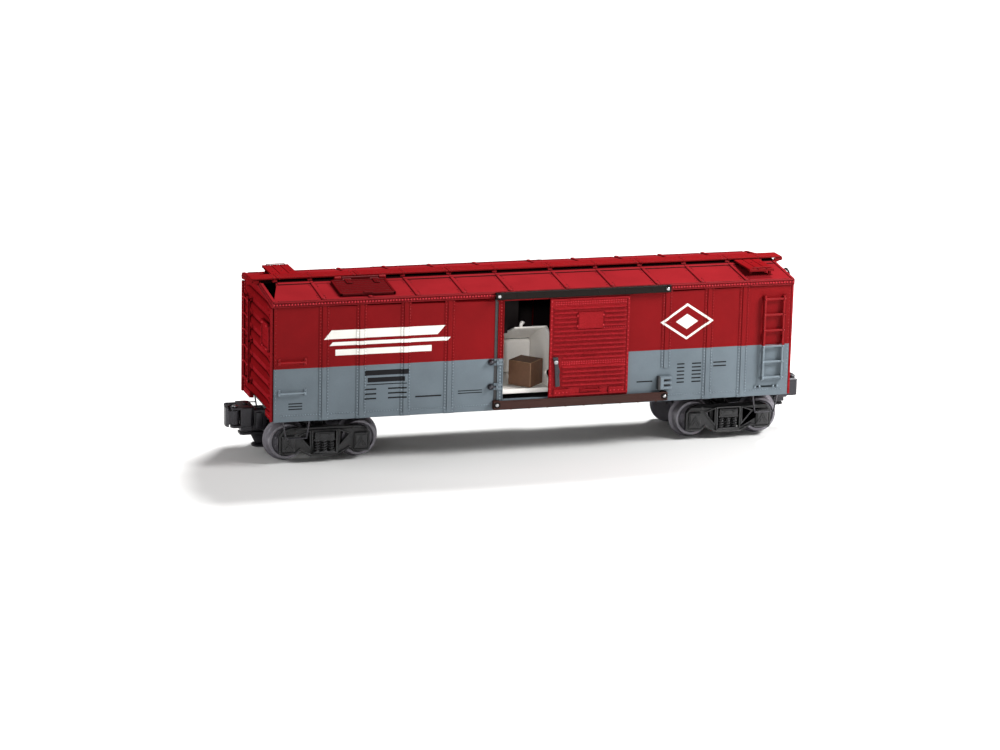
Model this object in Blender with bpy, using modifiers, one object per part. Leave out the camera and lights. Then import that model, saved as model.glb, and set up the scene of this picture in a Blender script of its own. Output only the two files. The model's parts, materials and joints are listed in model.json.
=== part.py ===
"""O-gauge operating merchandise box car, modelled piece by piece in millimetres and stored in metres.

+X runs along the car, -Y is the side with the partly open door, +Z is up. The origin lies under the
middle of the car, level with the bottoms of the wheel flanges. The car has half-turn symmetry: the rear
side, the left end and the left truck are the front side, right end and right truck turned about Z.
"""

from math import atan, cos, pi, radians, sin

import bmesh
import bpy
from mathutils import Matrix, Vector

MM = 0.001
GAP = 0.3

# Body shell
BODY_LENGTH = 269.9
BODY_WIDTH = 65.4
SILL_Z = 24.2
WALL_TOP_Z = 82.1
WALL = 1.6
SEAM_PROUD = 0.4
SEAM_WIDTH = 3.4
SEAM_XS = (-109.7, -90.8, -68.2, -45.8, 68.2, 90.8, 109.7)
SEAM_OVER_STOP_Z = 41.5

# Roof
ROOF_HALF_LENGTH = 136.0
ROOF_HALF_WIDTH = 33.8
EAVE_Z = 85.0
RIDGE_Z = 89.0
ROOF_THICK = 2.0
FASCIA_Z = 82.4
ROOF_RIB_XS = (14.7, 38.7, 62.6, 86.4, 110.3)
WALK_HALF_WIDTH = 5.2
WALK_HALF_LENGTH = 140.4
WALK_TOP_Z = 90.5
WALK_THICK = 1.0
LATERAL_X = (113.5, 127.0)
LATERAL_REACH = 28.4
LATERAL_TOP_Z = 89.8

# Loading hatch
HATCH_X = (-101.0, -73.0)
HATCH_LOW_Y = -30.2
HATCH_TOP_Y = -9.6
HATCH_THICK = 1.2
HATCH_PIN = (-7.8, 89.4)
LUG_XS = ((-98.6, -95.2), (-76.0, -72.4))

# Doorways and doors
DOORWAY_HALF = 17.9
DOORWAY_Z = (28.8, 80.2)
DOOR_WIDTH = 41.8
DOOR_Z = (30.4, 80.4)
DOOR_INNER_Y = -33.5
DOOR_FACE_Y = -34.7
DOOR_LEFT_CLOSED = -18.2
DOOR_OPENED_BY = 23.9
DOOR_RIB_PITCH = 2.33
DOOR_RIB_PROUD = 0.35
LATCH_Z = (35.5, 51.0)
GUIDE_X = (-23.0, 69.0)
GUIDE_OUTER_Y = -35.6
GUIDE_INNER_Y = -34.5
GUIDE_TOP_Z = (81.4, 85.0)
GUIDE_BOTTOM_Z = (25.2, 29.6)
STOP_X = (64.0, 71.2)
STOP_Z = (30.6, 37.5)
KEEPER_ZS = (36.7, 49.3)

# Ladders and irons
LADDER_X = (119.6, 131.6)
LADDER_RUNG_Z = 34.2
LADDER_PITCH = 8.2
LADDER_RUNGS = 6
END_LADDER_Y = (13.0, 24.2)
GRAB_X = (-132.2, -119.1)
GRAB_ZS = (39.0, 54.6)

# Ends
END_RIB_PITCH = 7.0
END_RIB_FIRST_Z = 30.6
END_RIBS = 8
END_RIB_PROUD = 1.15
NOTCH_HALF = 17.0
NOTCH_TOP_Z = 28.9

# Trucks and wheels
TRUCK_CENTRE_X = 106.8
WHEELBASE = 37.0
TREAD_R = 9.0
FLANGE_R = 10.9
RAIL_Z = FLANGE_R - TREAD_R
AXLE_Z = FLANGE_R
FRAME_Y = (21.8, 24.4)
UNDERFRAME_Z = (25.0, 26.6)

# Dispenser inside the car
BIN_FLOOR_Z = (31.2, 33.5)
BIN_X = (-17.3, 9.0)
BIN_LIP_Y = -28.6
KICKER_PIN = (5.4, 49.4)
SOLENOID_X = -4.0
SOLENOID_Z = 41.0
CUBE = 12.7
CUBE_CENTRE = (-1.7, -19.3)
CUBE_TURN = radians(-46.5)

# Brake wheel
BRAKE_CENTRE = (-12.6, 80.4)
BRAKE_R = 5.1

PALETTE = {
    "red": ((0.42, 0.02, 0.03), 0.42, 0.0),
    "grey": ((0.20, 0.25, 0.28), 0.45, 0.0),
    "black": ((0.012, 0.012, 0.013), 0.40, 0.0),
    "black_metal": ((0.03, 0.03, 0.032), 0.35, 0.8),
    "wheel": ((0.09, 0.09, 0.10), 0.45, 0.9),
    "steel": ((0.55, 0.55, 0.56), 0.3, 1.0),
    "white": ((0.78, 0.77, 0.74), 0.5, 0.0),
    "copper": ((0.60, 0.25, 0.10), 0.35, 1.0),
    "dark_grey": ((0.05, 0.047, 0.045), 0.6, 0.0),
    "brown": ((0.13, 0.065, 0.03), 0.7, 0.0),
}


# ---------------------------------------------------------------- scene set-up


def clear_scene():
    for obj in list(bpy.data.objects):
        bpy.data.objects.remove(obj, do_unlink=True)


def new_collection(name):
    made = bpy.data.collections.new(name)
    bpy.context.scene.collection.children.link(made)
    return made


def new_material(node, finish):
    colour, roughness, metallic = PALETTE[finish]
    material = bpy.data.materials.new(node)
    material.use_nodes = True
    shader = material.node_tree.nodes["Principled BSDF"]
    shader.inputs["Base Color"].default_value = (*colour, 1.0)
    shader.inputs["Roughness"].default_value = roughness
    shader.inputs["Metallic"].default_value = metallic
    return material


# ---------------------------------------------------------------- shapes, as meshes in millimetres


def mesh_from(bm, name="shape"):
    mesh = bpy.data.meshes.new(name)
    bm.to_mesh(mesh)
    bm.free()
    return mesh


def box(low, high):
    size = Vector(high) - Vector(low)
    middle = (Vector(high) + Vector(low)) / 2
    bm = bmesh.new()
    bmesh.ops.create_cube(bm, size=1.0)
    bmesh.ops.scale(bm, vec=size, verts=bm.verts)
    bmesh.ops.translate(bm, vec=middle, verts=bm.verts)
    return mesh_from(bm)


def rod(start, end, radius, segments=16, end_radius=None):
    """A cylinder, or a cone, from start to end."""
    start, end = Vector(start), Vector(end)
    axis = end - start
    bm = bmesh.new()
    bmesh.ops.create_cone(
        bm,
        cap_ends=True,
        segments=segments,
        radius1=radius,
        radius2=radius if end_radius is None else end_radius,
        depth=axis.length,
    )
    turn = Vector((0, 0, 1)).rotation_difference(axis).to_matrix().to_4x4()
    bmesh.ops.transform(bm, matrix=Matrix.Translation((start + end) / 2) @ turn, verts=bm.verts)
    return mesh_from(bm)


def mesh_of_curve(curve):
    """The closed mesh that a curve object makes; the curve itself is removed."""
    obj = bpy.data.objects.new("curve", curve)
    bpy.context.scene.collection.objects.link(obj)
    bpy.context.view_layer.update()
    graph = bpy.context.evaluated_depsgraph_get()
    mesh = bpy.data.meshes.new_from_object(obj.evaluated_get(graph))
    bpy.data.objects.remove(obj, do_unlink=True)
    bm = bmesh.new()
    bm.from_mesh(mesh)
    bmesh.ops.remove_doubles(bm, verts=bm.verts, dist=0.001)
    bmesh.ops.recalc_face_normals(bm, faces=bm.faces)
    bm.to_mesh(mesh)
    bm.free()
    return mesh


def plate(outlines, low, high, plane):
    """Flat outlines, the first one solid and the rest holes, extruded from low to high across a plane.

    In plane "XZ" a point is (x, z) and the plate runs from y low to y high, in "YZ" a point is (y, z) and
    it runs along x, and in "XY" a point is (x, y) and it runs along z.
    """
    curve = bpy.data.curves.new("outline", "CURVE")
    curve.dimensions = "2D"
    curve.fill_mode = "BOTH"
    curve.extrude = (high - low) / 2
    for outline in outlines:
        spline = curve.splines.new("POLY")
        spline.points.add(len(outline) - 1)
        for point, (a, b) in zip(spline.points, outline):
            point.co = (a, b, 0, 1)
        spline.use_cyclic_u = True
    mesh = mesh_of_curve(curve)
    middle = (low + high) / 2
    turns = {
        "XY": Matrix.Translation((0, 0, middle)),
        "XZ": Matrix.Translation((0, middle, 0)) @ Matrix.Rotation(pi / 2, 4, "X"),
        "YZ": Matrix.Translation((middle, 0, 0))
        @ Matrix(((0, 0, 1, 0), (1, 0, 0, 0), (0, 1, 0, 0), (0, 0, 0, 1))),
    }
    mesh.transform(turns[plane])
    return mesh


def wire(points, radius):
    """A round wire along the points, with closed ends."""
    curve = bpy.data.curves.new("wire", "CURVE")
    curve.dimensions = "3D"
    curve.bevel_depth = radius
    curve.bevel_resolution = 2
    curve.use_fill_caps = True
    spline = curve.splines.new("POLY")
    spline.points.add(len(points) - 1)
    for point, place in zip(spline.points, points):
        point.co = (*place, 1)
    return mesh_of_curve(curve)


def turned(profile, steps):
    """A profile of (distance along Y, radius), turned about the Y axis by a Screw modifier."""
    bm = bmesh.new()
    points = [bm.verts.new((radius, 0, -along)) for along, radius in profile]
    for first, second in zip(points, points[1:]):
        bm.edges.new((first, second))
    obj = bpy.data.objects.new("turned", mesh_from(bm))
    bpy.context.scene.collection.objects.link(obj)
    screw = obj.modifiers.new("turn", "SCREW")
    screw.axis = "Z"
    screw.steps = steps
    screw.render_steps = steps
    screw.use_merge_vertices = True
    screw.merge_threshold = 0.0001
    mesh = evaluated_mesh(obj)
    bm = bmesh.new()
    bm.from_mesh(mesh)
    bmesh.ops.remove_doubles(bm, verts=bm.verts, dist=0.0001)
    bmesh.ops.recalc_face_normals(bm, faces=bm.faces)
    bm.to_mesh(mesh)
    bm.free()
    mesh.transform(Matrix.Rotation(pi / 2, 4, "X"))
    return mesh


def ring(centre, major, minor, axis):
    """A torus about an axis through its centre."""
    bpy.ops.mesh.primitive_torus_add(
        major_segments=24, minor_segments=6, major_radius=major, minor_radius=minor
    )
    obj = bpy.context.object
    mesh = obj.data
    bpy.data.objects.remove(obj, do_unlink=True)
    turn = Vector((0, 0, 1)).rotation_difference(Vector(axis)).to_matrix().to_4x4()
    mesh.transform(Matrix.Translation(centre) @ turn)
    return mesh


def evaluated_mesh(obj):
    """The mesh an object has after its modifiers; the object is removed."""
    bpy.context.view_layer.update()
    graph = bpy.context.evaluated_depsgraph_get()
    mesh = bpy.data.meshes.new_from_object(obj.evaluated_get(graph))
    bpy.data.objects.remove(obj, do_unlink=True)
    return mesh


def combined(first, others, operation):
    """The first mesh after a Boolean of one kind with each of the others in turn."""
    body = bpy.data.objects.new("body", first)
    bpy.context.scene.collection.objects.link(body)
    tools = []
    for other in others:
        tool = bpy.data.objects.new("tool", other)
        bpy.context.scene.collection.objects.link(tool)
        modifier = body.modifiers.new(operation.lower(), "BOOLEAN")
        modifier.operation = operation
        modifier.solver = "EXACT"
        modifier.object = tool
        tools.append(tool)
    mesh = evaluated_mesh(body)
    for tool in tools:
        bpy.data.objects.remove(tool, do_unlink=True)
    return mesh


def joined(first, *others):
    return combined(first, others, "UNION")


def cut(first, *others):
    return combined(first, others, "DIFFERENCE")


def half_turned(mesh, about_x=0.0):
    """A copy of the mesh turned half way about the vertical line at about_x."""
    copy = mesh.copy()
    there = Matrix.Translation((about_x, 0, 0))
    copy.transform(there @ Matrix.Rotation(pi, 4, "Z") @ there.inverted())
    return copy


def moved(mesh, x=0.0, y=0.0, z=0.0):
    copy = mesh.copy()
    copy.transform(Matrix.Translation((x, y, z)))
    return copy


def arc(centre, radius, start, end, count):
    """count + 1 points on an arc, in degrees, in whichever plane the outline is drawn."""
    turns = [radians(start + (end - start) * i / count) for i in range(count + 1)]
    return [(centre[0] + radius * cos(t), centre[1] + radius * sin(t)) for t in turns]


def mirrored_outline(points):
    """An outline drawn for positive x, closed by its mirror image in x = 0."""
    return points + [(-x, z) for x, z in reversed(points)]


# ---------------------------------------------------------------- nodes


class Assembly:
    """Places finished meshes as named objects, each under the empty of the joint that moves it."""

    def __init__(self):
        self.parts = new_collection("box_car")
        self.pivots = {}

    def pivot(self, name, place, parent=None):
        empty = bpy.data.objects.new(name, None)
        empty.empty_display_size = 0.005
        self.parts.objects.link(empty)
        origin = Vector(place) * MM
        if parent:
            empty.parent = self.pivots[parent][0]
            origin_of_parent = self.pivots[parent][1]
        else:
            origin_of_parent = Vector()
        empty.location = origin - origin_of_parent
        self.pivots[name] = (empty, origin)

    def add(self, name, mesh, finish, pivot=None):
        mesh.transform(Matrix.Scale(MM, 4))
        mesh.name = name
        if pivot:
            mesh.transform(Matrix.Translation(-self.pivots[pivot][1]))
        mesh.materials.clear()
        mesh.materials.append(new_material(name, finish))
        obj = bpy.data.objects.new(name, mesh)
        if pivot:
            obj.parent = self.pivots[pivot][0]
        self.parts.objects.link(obj)
        mesh.shade_smooth()
        mesh.set_sharp_from_angle(angle=radians(30))
        return obj


# ---------------------------------------------------------------- body shell


def roof_z(y):
    """Height of the roof's top surface at a distance from the ridge."""
    return RIDGE_Z - (RIDGE_Z - EAVE_Z) * abs(y) / ROOF_HALF_WIDTH


def side_panel():
    outer, inner = -BODY_WIDTH / 2, -BODY_WIDTH / 2 + WALL
    half = BODY_LENGTH / 2
    panel = cut(
        box((-half, outer, SILL_Z), (half, inner, WALL_TOP_Z)),
        box((-DOORWAY_HALF, outer - 2, DOORWAY_Z[0]), (DOORWAY_HALF, inner + 2, DOORWAY_Z[1])),
    )
    proud = outer - SEAM_PROUD
    trim = []
    for x in SEAM_XS:
        low_z = SEAM_OVER_STOP_Z if x == -SEAM_XS[2] else SILL_Z
        trim.append(box((x - SEAM_WIDTH / 2, proud, low_z), (x + SEAM_WIDTH / 2, outer + 0.5, WALL_TOP_Z)))
    post_left = -DOORWAY_HALF - 3.6
    trim.append(box((post_left, proud, DOORWAY_Z[0]), (-DOORWAY_HALF, outer + 0.5, DOORWAY_Z[1] + 1.2)))
    for z in (STOP_Z[0] + 0.8, sum(STOP_Z) / 2, STOP_Z[1] - 0.8):
        trim.append(box((STOP_X[0] + 0.5, outer - 2.6, z - 0.8), (STOP_X[1], outer + 0.5, z + 0.8)))
    trim.append(box((STOP_X[0], outer - 2.6, STOP_Z[0]), (STOP_X[0] + 2.4, outer + 0.5, STOP_Z[1])))
    for z in KEEPER_ZS:
        low = (post_left - 1.3, outer - 1.9, z - 1.4)
        high = (DOOR_LEFT_CLOSED - GAP, outer + 0.5, z + 1.4)
        trim.append(box(low, high))
        trim.append(rod((post_left - 3.0, outer + 0.5, z), (post_left - 3.0, outer - 2.4, z), 1.4, 10))
    return joined(panel, *trim)


def end_panel():
    """The right end: a wall with eight pressed ribs, notched at the bottom for the coupler."""
    inner, outer = BODY_LENGTH / 2 - WALL, BODY_LENGTH / 2
    edge = BODY_WIDTH / 2 - WALL - GAP
    outline = [
        (edge, SILL_Z),
        (edge, WALL_TOP_Z),
        (0, WALL_TOP_Z + 3.6),
        (-edge, WALL_TOP_Z),
        (-edge, SILL_Z),
        (-NOTCH_HALF, SILL_Z),
        (-NOTCH_HALF, NOTCH_TOP_Z),
        (NOTCH_HALF, NOTCH_TOP_Z),
        (NOTCH_HALF, SILL_Z),
    ]
    ribs = []
    for i in range(END_RIBS):
        z = END_RIB_FIRST_Z + END_RIB_PITCH * i
        ribs.append(
            plate(
                [
                    [(-29.0, z), (-26.0, z + 1.9), (26.0, z + 1.9)]
                    + [(29.0, z), (26.0, z - 1.5), (-26.0, z - 1.5)]
                ],
                outer - 0.5,
                outer + END_RIB_PROUD,
                "YZ",
            )
        )
    for side in (-1, 1):
        flange = [(outer - 0.5, side * 29.6), (outer + 0.8, side * 29.6), (outer + 0.8, side * 30.7)]
        flange += [(outer + 1.6, side * 30.7), (outer + 1.6, side * 32.2), (outer + GAP, side * 32.2)]
        flange += [(outer + GAP, side * 30.6), (outer - 0.5, side * 30.6)]
        ribs.append(plate([flange], SILL_Z + 0.2, WALL_TOP_Z - 0.4, "XY"))
    return joined(plate([outline], inner, outer, "YZ"), *ribs)


def roof():
    """Two slopes with a fascia hanging at the eaves and ends, raised seams, lugs and the hatch opening."""
    half = ROOF_HALF_LENGTH
    w = ROOF_HALF_WIDTH
    inner = w - 2.7
    section = [
        (-w, FASCIA_Z),
        (-w, EAVE_Z),
        (0, RIDGE_Z),
        (w, EAVE_Z),
        (w, FASCIA_Z),
        (inner, FASCIA_Z),
        (0, RIDGE_Z - ROOF_THICK),
        (-inner, FASCIA_Z),
    ]
    band = [(-w, FASCIA_Z - 0.2), (-w, EAVE_Z), (0, RIDGE_Z)]
    band += [(w, EAVE_Z), (w, FASCIA_Z - 0.2), (0, RIDGE_Z - 2.8)]
    body = plate([section], -half, half, "YZ")
    extras = [
        plate([band], half - 0.75, half, "YZ"),
        plate([band], -half, -half + 0.75, "YZ"),
    ]
    for side in (-1, 1):
        near, far = side * (WALK_HALF_WIDTH + 0.9), side * (w - 0.8)
        for x in [s * x for s in (-1, 1) for x in ROOF_RIB_XS]:
            seam = [(near, roof_z(near) + 0.55), (far, roof_z(far) + 0.55)]
            seam += [(far, roof_z(far) - 0.5), (near, roof_z(near) - 0.5)]
            if HATCH_X[0] < x < HATCH_X[1] and side < 0:
                continue
            extras.append(plate([seam], x - 0.9, x + 0.9, "YZ"))
    y, z = HATCH_PIN
    for low, high in LUG_XS:
        extras.append(box((low, y - 1.1, roof_z(y) - 0.6), (high, y + 1.1, z + 0.85)))
    whole = joined(body, *extras)
    pin_hole = rod((LUG_XS[0][0] - 1, y, z), (LUG_XS[1][1] + 1, y, z), 0.62, 10)
    opening_low = (HATCH_X[0] + 1.5, HATCH_LOW_Y + 1.6, EAVE_Z - 8)
    opening_high = (HATCH_X[1] - 1.5, HATCH_TOP_Y - 0.6, RIDGE_Z + 4)
    opening = box(opening_low, opening_high)
    return cut(whole, pin_hole, opening)


def roof_walk():
    top, under = WALK_TOP_Z, WALK_TOP_Z - WALK_THICK
    board = box((-WALK_HALF_LENGTH, -WALK_HALF_WIDTH, under), (WALK_HALF_LENGTH, WALK_HALF_WIDTH, top))
    extras = []
    for side in (-1, 1):
        low = min(side * (WALK_HALF_LENGTH - 1.4), side * WALK_HALF_LENGTH)
        extras.append(box((low, -WALK_HALF_WIDTH, top - 2.4), (low + 1.4, WALK_HALF_WIDTH, top - 0.2)))
        for y in (-4.2, 4.2):
            brace = [
                (side * (ROOF_HALF_LENGTH + GAP), under + 0.2),
                (side * (WALK_HALF_LENGTH - 0.5), under + 0.2),
                (side * (WALK_HALF_LENGTH - 0.5), under - 0.8),
                (side * (ROOF_HALF_LENGTH + GAP), under - 2.6),
            ]
            extras.append(plate([brace], y - 0.6, y + 0.6, "XZ"))
    return joined(board, *extras)


def lateral_board():
    """The running board at the front right corner, on a leg that stands on the roof near the eave."""
    x0, x1 = LATERAL_X
    outer = -LATERAL_REACH
    under = LATERAL_TOP_Z - 1.1
    board = box((x0, outer, under), (x1, -WALK_HALF_WIDTH - 0.5, LATERAL_TOP_Z))
    legs = []
    for y in (-25.5, -13.5):
        legs.append(box((x0 + 0.8, y - 0.6, roof_z(y + 0.6) + GAP), (x1 - 0.8, y + 0.6, under + 0.3)))
    return joined(board, *legs)


def ladder(length_axis_low, length_axis_high, face, wall, plane):
    """A six-rung ladder between two stiles, on four feet that reach the wall."""
    low, high = length_axis_low, length_axis_high
    bottom = LADDER_RUNG_Z - 1.4
    top = LADDER_RUNG_Z + LADDER_PITCH * (LADDER_RUNGS - 1) + 1.8
    inward = 1.0 if wall > face else -1.0
    back = face + inward * 1.1

    def bar(a0, a1, f0, f1, z0, z1):
        f0, f1 = sorted((f0, f1))
        if plane == "X":
            return box((a0, f0, z0), (a1, f1, z1))
        return box((f0, a0, z0), (f1, a1, z1))

    stile = bar(low, low + 1.2, face, back, bottom, top)
    others = [bar(high - 1.2, high, face, back, bottom, top)]
    for i in range(LADDER_RUNGS):
        z = LADDER_RUNG_Z + LADDER_PITCH * i
        front, rear = face + inward * 0.1, face + inward * 0.9
        others.append(bar(low + 0.4, high - 0.4, front, rear, z - 0.55, z + 0.55))
    for a in (low, high - 1.2):
        for z in (bottom, top - 1.6):
            others.append(bar(a, a + 1.2, face + inward * 0.4, wall - inward * GAP, z, z + 1.6))
    return joined(stile, *others)


def tack_board():
    """A placard board on the left end, towards the front corner."""
    face = -BODY_LENGTH / 2 - END_RIB_PROUD
    board = box((face - 1.0, -30.4, 59.3), (face - GAP + 0.1, -15.0, 72.9))
    frame = [
        box((face - 1.4, -30.4, z0), (face - 0.8, -15.0, z0 + 1.0)) for z0 in (59.3, 71.9)
    ]
    return joined(board, *frame)


def grab_iron(z):
    wall = -BODY_WIDTH / 2 - GAP
    out = wall - 1.7
    x0, x1 = GRAB_X
    return wire([(x0, wall, z), (x0, out, z), (x1, out, z), (x1, wall, z)], 0.42)


def stirrup(x0, x1):
    top = SILL_Z - GAP
    y = -BODY_WIDTH / 2 + 0.8
    return wire([(x0, y, top), (x0 + 1.6, y, 15.4), (x1 - 1.6, y, 15.4), (x1, y, top)], 0.45)


# ---------------------------------------------------------------- doors


def top_guide():
    low_x, high_x = GUIDE_X
    z0, z1 = GUIDE_TOP_Z
    rail = box((low_x, GUIDE_OUTER_Y, z0), (high_x, GUIDE_INNER_Y, z1))
    back = -ROOF_HALF_WIDTH - GAP
    pads = []
    for x in (low_x, high_x - 4.0):
        pads.append(box((x, GUIDE_INNER_Y - 0.3, FASCIA_Z + 0.4), (x + 4.0, back, z1)))
    return joined(rail, *pads)


def bottom_guide():
    low_x, high_x = GUIDE_X
    z0, z1 = GUIDE_BOTTOM_Z
    back = -BODY_WIDTH / 2 - GAP
    rail = box((low_x, GUIDE_OUTER_Y, z0), (high_x, GUIDE_INNER_Y, z1))
    shelf = box((low_x, GUIDE_INNER_Y - 0.3, z0), (high_x, back, z1 - 1.4))
    return joined(rail, shelf)


def door(left_x):
    """A ribbed sliding door whose plain tongues run behind the guides."""
    right_x = left_x + DOOR_WIDTH
    low, high = DOOR_Z
    face, inner = DOOR_FACE_Y, DOOR_INNER_Y
    panel = box((left_x, face, low), (right_x, inner, high))
    extras = [
        box((left_x, inner - 0.7, low - 1.5), (right_x, inner, low + 0.5)),
        box((left_x, inner - 0.7, high - 0.5), (right_x, inner, high + 1.3)),
    ]
    count = int((high - low - 8.0) / DOOR_RIB_PITCH)
    for i in range(count):
        z = low + 5.4 + DOOR_RIB_PITCH * i
        start = left_x + (6.3 if z < LATCH_Z[1] + 1.0 else 1.2)
        extras.append(box((start, face - DOOR_RIB_PROUD, z - 0.45), (right_x - 1.2, face + 0.4, z + 0.45)))
    placard_x = left_x + 14.5
    extras.append(box((placard_x, face - 0.75, 64.6), (placard_x + 13.2, face + 0.4, 73.2)))
    for x0, x1 in ((2.6, 10.6), (31.4, 39.6)):
        extras.append(box((left_x + x0, face - 0.6, low + 0.1), (left_x + x1, face + 0.4, low + 3.5)))
    extras.append(box((left_x + 16.8, face - 0.9, low + 1.4), (left_x + 27.5, face + 0.4, low + 2.6)))
    return joined(panel, *extras)


def door_latch(left_x):
    """The strap that hangs from a pin at the door's leading edge."""
    back = DOOR_FACE_Y - GAP
    low, high = LATCH_Z
    outline = [
        (left_x + 1.4, high),
        (left_x + 4.2, high),
        (left_x + 4.4, high - 3.0),
        (left_x + 5.7, low),
        (left_x + 2.5, low),
    ]
    return plate([outline], back - 0.8, back, "XZ")


# ---------------------------------------------------------------- roof hatch


def roof_hatch():
    """The lid lies on the slope, with one wide knuckle around the pin between the lugs."""
    y, z = HATCH_PIN

    def surface(at, above):
        return (at, roof_z(at) + above)

    lid = [
        surface(HATCH_LOW_Y, GAP),
        surface(HATCH_TOP_Y, GAP),
        surface(HATCH_TOP_Y, GAP + HATCH_THICK),
        surface(HATCH_LOW_Y, GAP + HATCH_THICK),
    ]
    panel = plate([lid], HATCH_X[0], HATCH_X[1], "YZ")
    low, high = LUG_XS[0][1] + GAP, LUG_XS[1][0] - GAP
    neck = [surface(HATCH_TOP_Y - 0.4, GAP), (y, z - 1.05), (y, z + 0.4)]
    neck.append(surface(HATCH_TOP_Y - 0.4, GAP + HATCH_THICK))
    knuckle = joined(plate([neck], low, high, "YZ"), rod((low, y, z), (high, y, z), 1.05, 12))
    bore = rod((low - 1, y, z), (high + 1, y, z), 0.62, 10)
    return cut(joined(panel, knuckle), bore)


def hatch_pin():
    y, z = HATCH_PIN
    return rod((LUG_XS[0][0] + 0.2, y, z), (LUG_XS[1][1] - 0.2, y, z), 0.4, 10)


# ---------------------------------------------------------------- underframe, trucks and couplers


def underframe():
    half_y = BODY_WIDTH / 2 - WALL - GAP
    half_x = BODY_LENGTH / 2 - WALL - GAP
    z0, z1 = UNDERFRAME_Z
    sheet = box((-half_x, -half_y, z0), (half_x, half_y, z1))
    bosses = []
    for side in (-1, 1):
        x = side * TRUCK_CENTRE_X
        bosses.append(rod((x, 0, 20.8), (x, 0, z0 + 0.5), 6.5, 20))
    for y in (-9.0, 9.0):
        bosses.append(box((-60.0, y - 1.5, z0 - 0.6), (60.0, y + 1.5, z0 + 0.4)))
    holes = [rod((s * TRUCK_CENTRE_X, 0, 19), (s * TRUCK_CENTRE_X, 0, 29), 1.8, 12) for s in (-1, 1)]
    return cut(joined(sheet, *bosses), *holes)


def kingpin():
    """Screw that the right truck swivels on: its head carries the bolster from below."""
    x = TRUCK_CENTRE_X
    shaft = rod((x, 0, 11.0), (x, 0, 28.6), 1.5, 12)
    return joined(shaft, rod((x, 0, 10.2), (x, 0, 11.8), 3.0, 16), rod((x, 0, 26.9), (x, 0, 28.4), 2.8, 6))


def side_frame_outlines():
    """A cast side frame about its centre: the outer shape, the spring window and two triangular windows."""
    outer = mirrored_outline(
        [(7.3, 3.6), (12.6, 6.6), (14.6, 4.9), (22.2, 4.9)]
        + [(23.2, 6.2), (23.2, 14.6), (21.0, 17.2), (17.6, 18.4)]
    )
    window = [(-5.8, 5.2), (5.8, 5.2), (5.8, 16.2), (-5.8, 16.2)]
    triangle = [(7.2, 8.4), (7.2, 16.4), (12.4, 14.4)]
    return [outer, window, triangle, [(-x, z) for x, z in triangle]]


def truck_frame():
    """Right truck: side frames with springs and journal boxes, the bolster and its drawbar."""
    cx = TRUCK_CENTRE_X
    inner, outer = FRAME_Y
    outlines = [[(cx + x, z) for x, z in outline] for outline in side_frame_outlines()]
    front = plate(outlines, -outer, -inner, "XZ")
    extras = [plate(outlines, inner, outer, "XZ")]
    extras.append(box((cx - 5.2, -outer + 0.4, 12.1), (cx + 5.2, outer - 0.4, 15.9)))
    extras.append(rod((cx, 0, 15.5), (cx, 0, 20.5), 6.5, 20))
    for side in (-1, 1):
        for x in (-3.6, 0.0, 3.6):
            place = side * (inner + outer) / 2
            extras.append(rod((cx + x, place, 4.9), (cx + x, place, 12.3), 1.15, 8))
        for x in (-WHEELBASE / 2, WHEELBASE / 2):
            y0, y1 = sorted((side * (outer - 0.3), side * (outer + 1.0)))
            extras.append(box((cx + x - 3.6, y0, 7.0), (cx + x + 3.6, y1, 14.6)))
    extras.append(box((cx + 4.6, -4.5, 13.6), (cx + 24.4, 4.5, 15.4)))
    whole = joined(front, *extras)
    bearings = [rod((cx, 0, 11.0), (cx, 0, 22.0), 1.8, 12)]
    for x in (-WHEELBASE / 2, WHEELBASE / 2):
        for side in (-1, 1):
            start = (cx + x, side * (inner - 0.5), AXLE_Z)
            end = (cx + x, side * (inner + 1.9), AXLE_Z)
            bearings.append(rod(start, end, 1.5, 12))
    return cut(whole, *bearings)


def wheelset():
    """Axle with both wheels, turned about Y through the origin."""
    half = [
        (0.0, 1.5),
        (13.6, 1.5),
        (13.6, 10.3),
        (14.1, FLANGE_R),
        (14.7, FLANGE_R),
        (15.8, TREAD_R + 0.1),
        (20.5, TREAD_R - 0.2),
        (20.5, 7.4),
        (19.2, 6.9),
        (19.4, 2.8),
        (20.4, 2.6),
        (20.4, 1.2),
        (23.3, 1.2),
        (23.3, 0.0),
    ]
    profile = [(-along, radius) for along, radius in reversed(half)] + half[1:]
    return turned(profile, 20)


def coupler_head():
    """Right coupler: drawbar shank, head with guard arm, and two ears that hold the knuckle's pin."""
    cx = TRUCK_CENTRE_X
    head = box((cx + 31.5, -7.4, 15.4), (cx + 38.6, 7.4, 25.9))
    px, py = knuckle_place()
    guard = [(cx + 38.2, -7.4), (cx + 43.6, -7.4), (cx + 44.4, -6.2)]
    guard += [(cx + 42.4, -4.8), (cx + 38.2, -3.4)]
    extras = [
        box((cx + 24.4 + GAP, -4.5, 12.7), (cx + 32.0, 4.5, 23.9)),
        box((cx + 31.8, -5.0, 12.7), (cx + 38.4, 5.0, 15.8)),
        plate([guard], 16.2, 25.1, "XY"),
    ]
    for z0, z1 in ((15.4, 16.7), (24.6, 25.9)):
        ear = [(cx + 38.2, py - 2.4)] + arc((px, py), 2.4, -90, 90, 8) + [(cx + 38.2, py + 2.4)]
        extras.append(plate([ear], z0, z1, "XY"))
    bore = rod((px, py, 14), (px, py, 27), 1.15, 10)
    return cut(joined(head, *extras), bore)


def knuckle_place():
    return (TRUCK_CENTRE_X + 41.2, 4.8)


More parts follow.
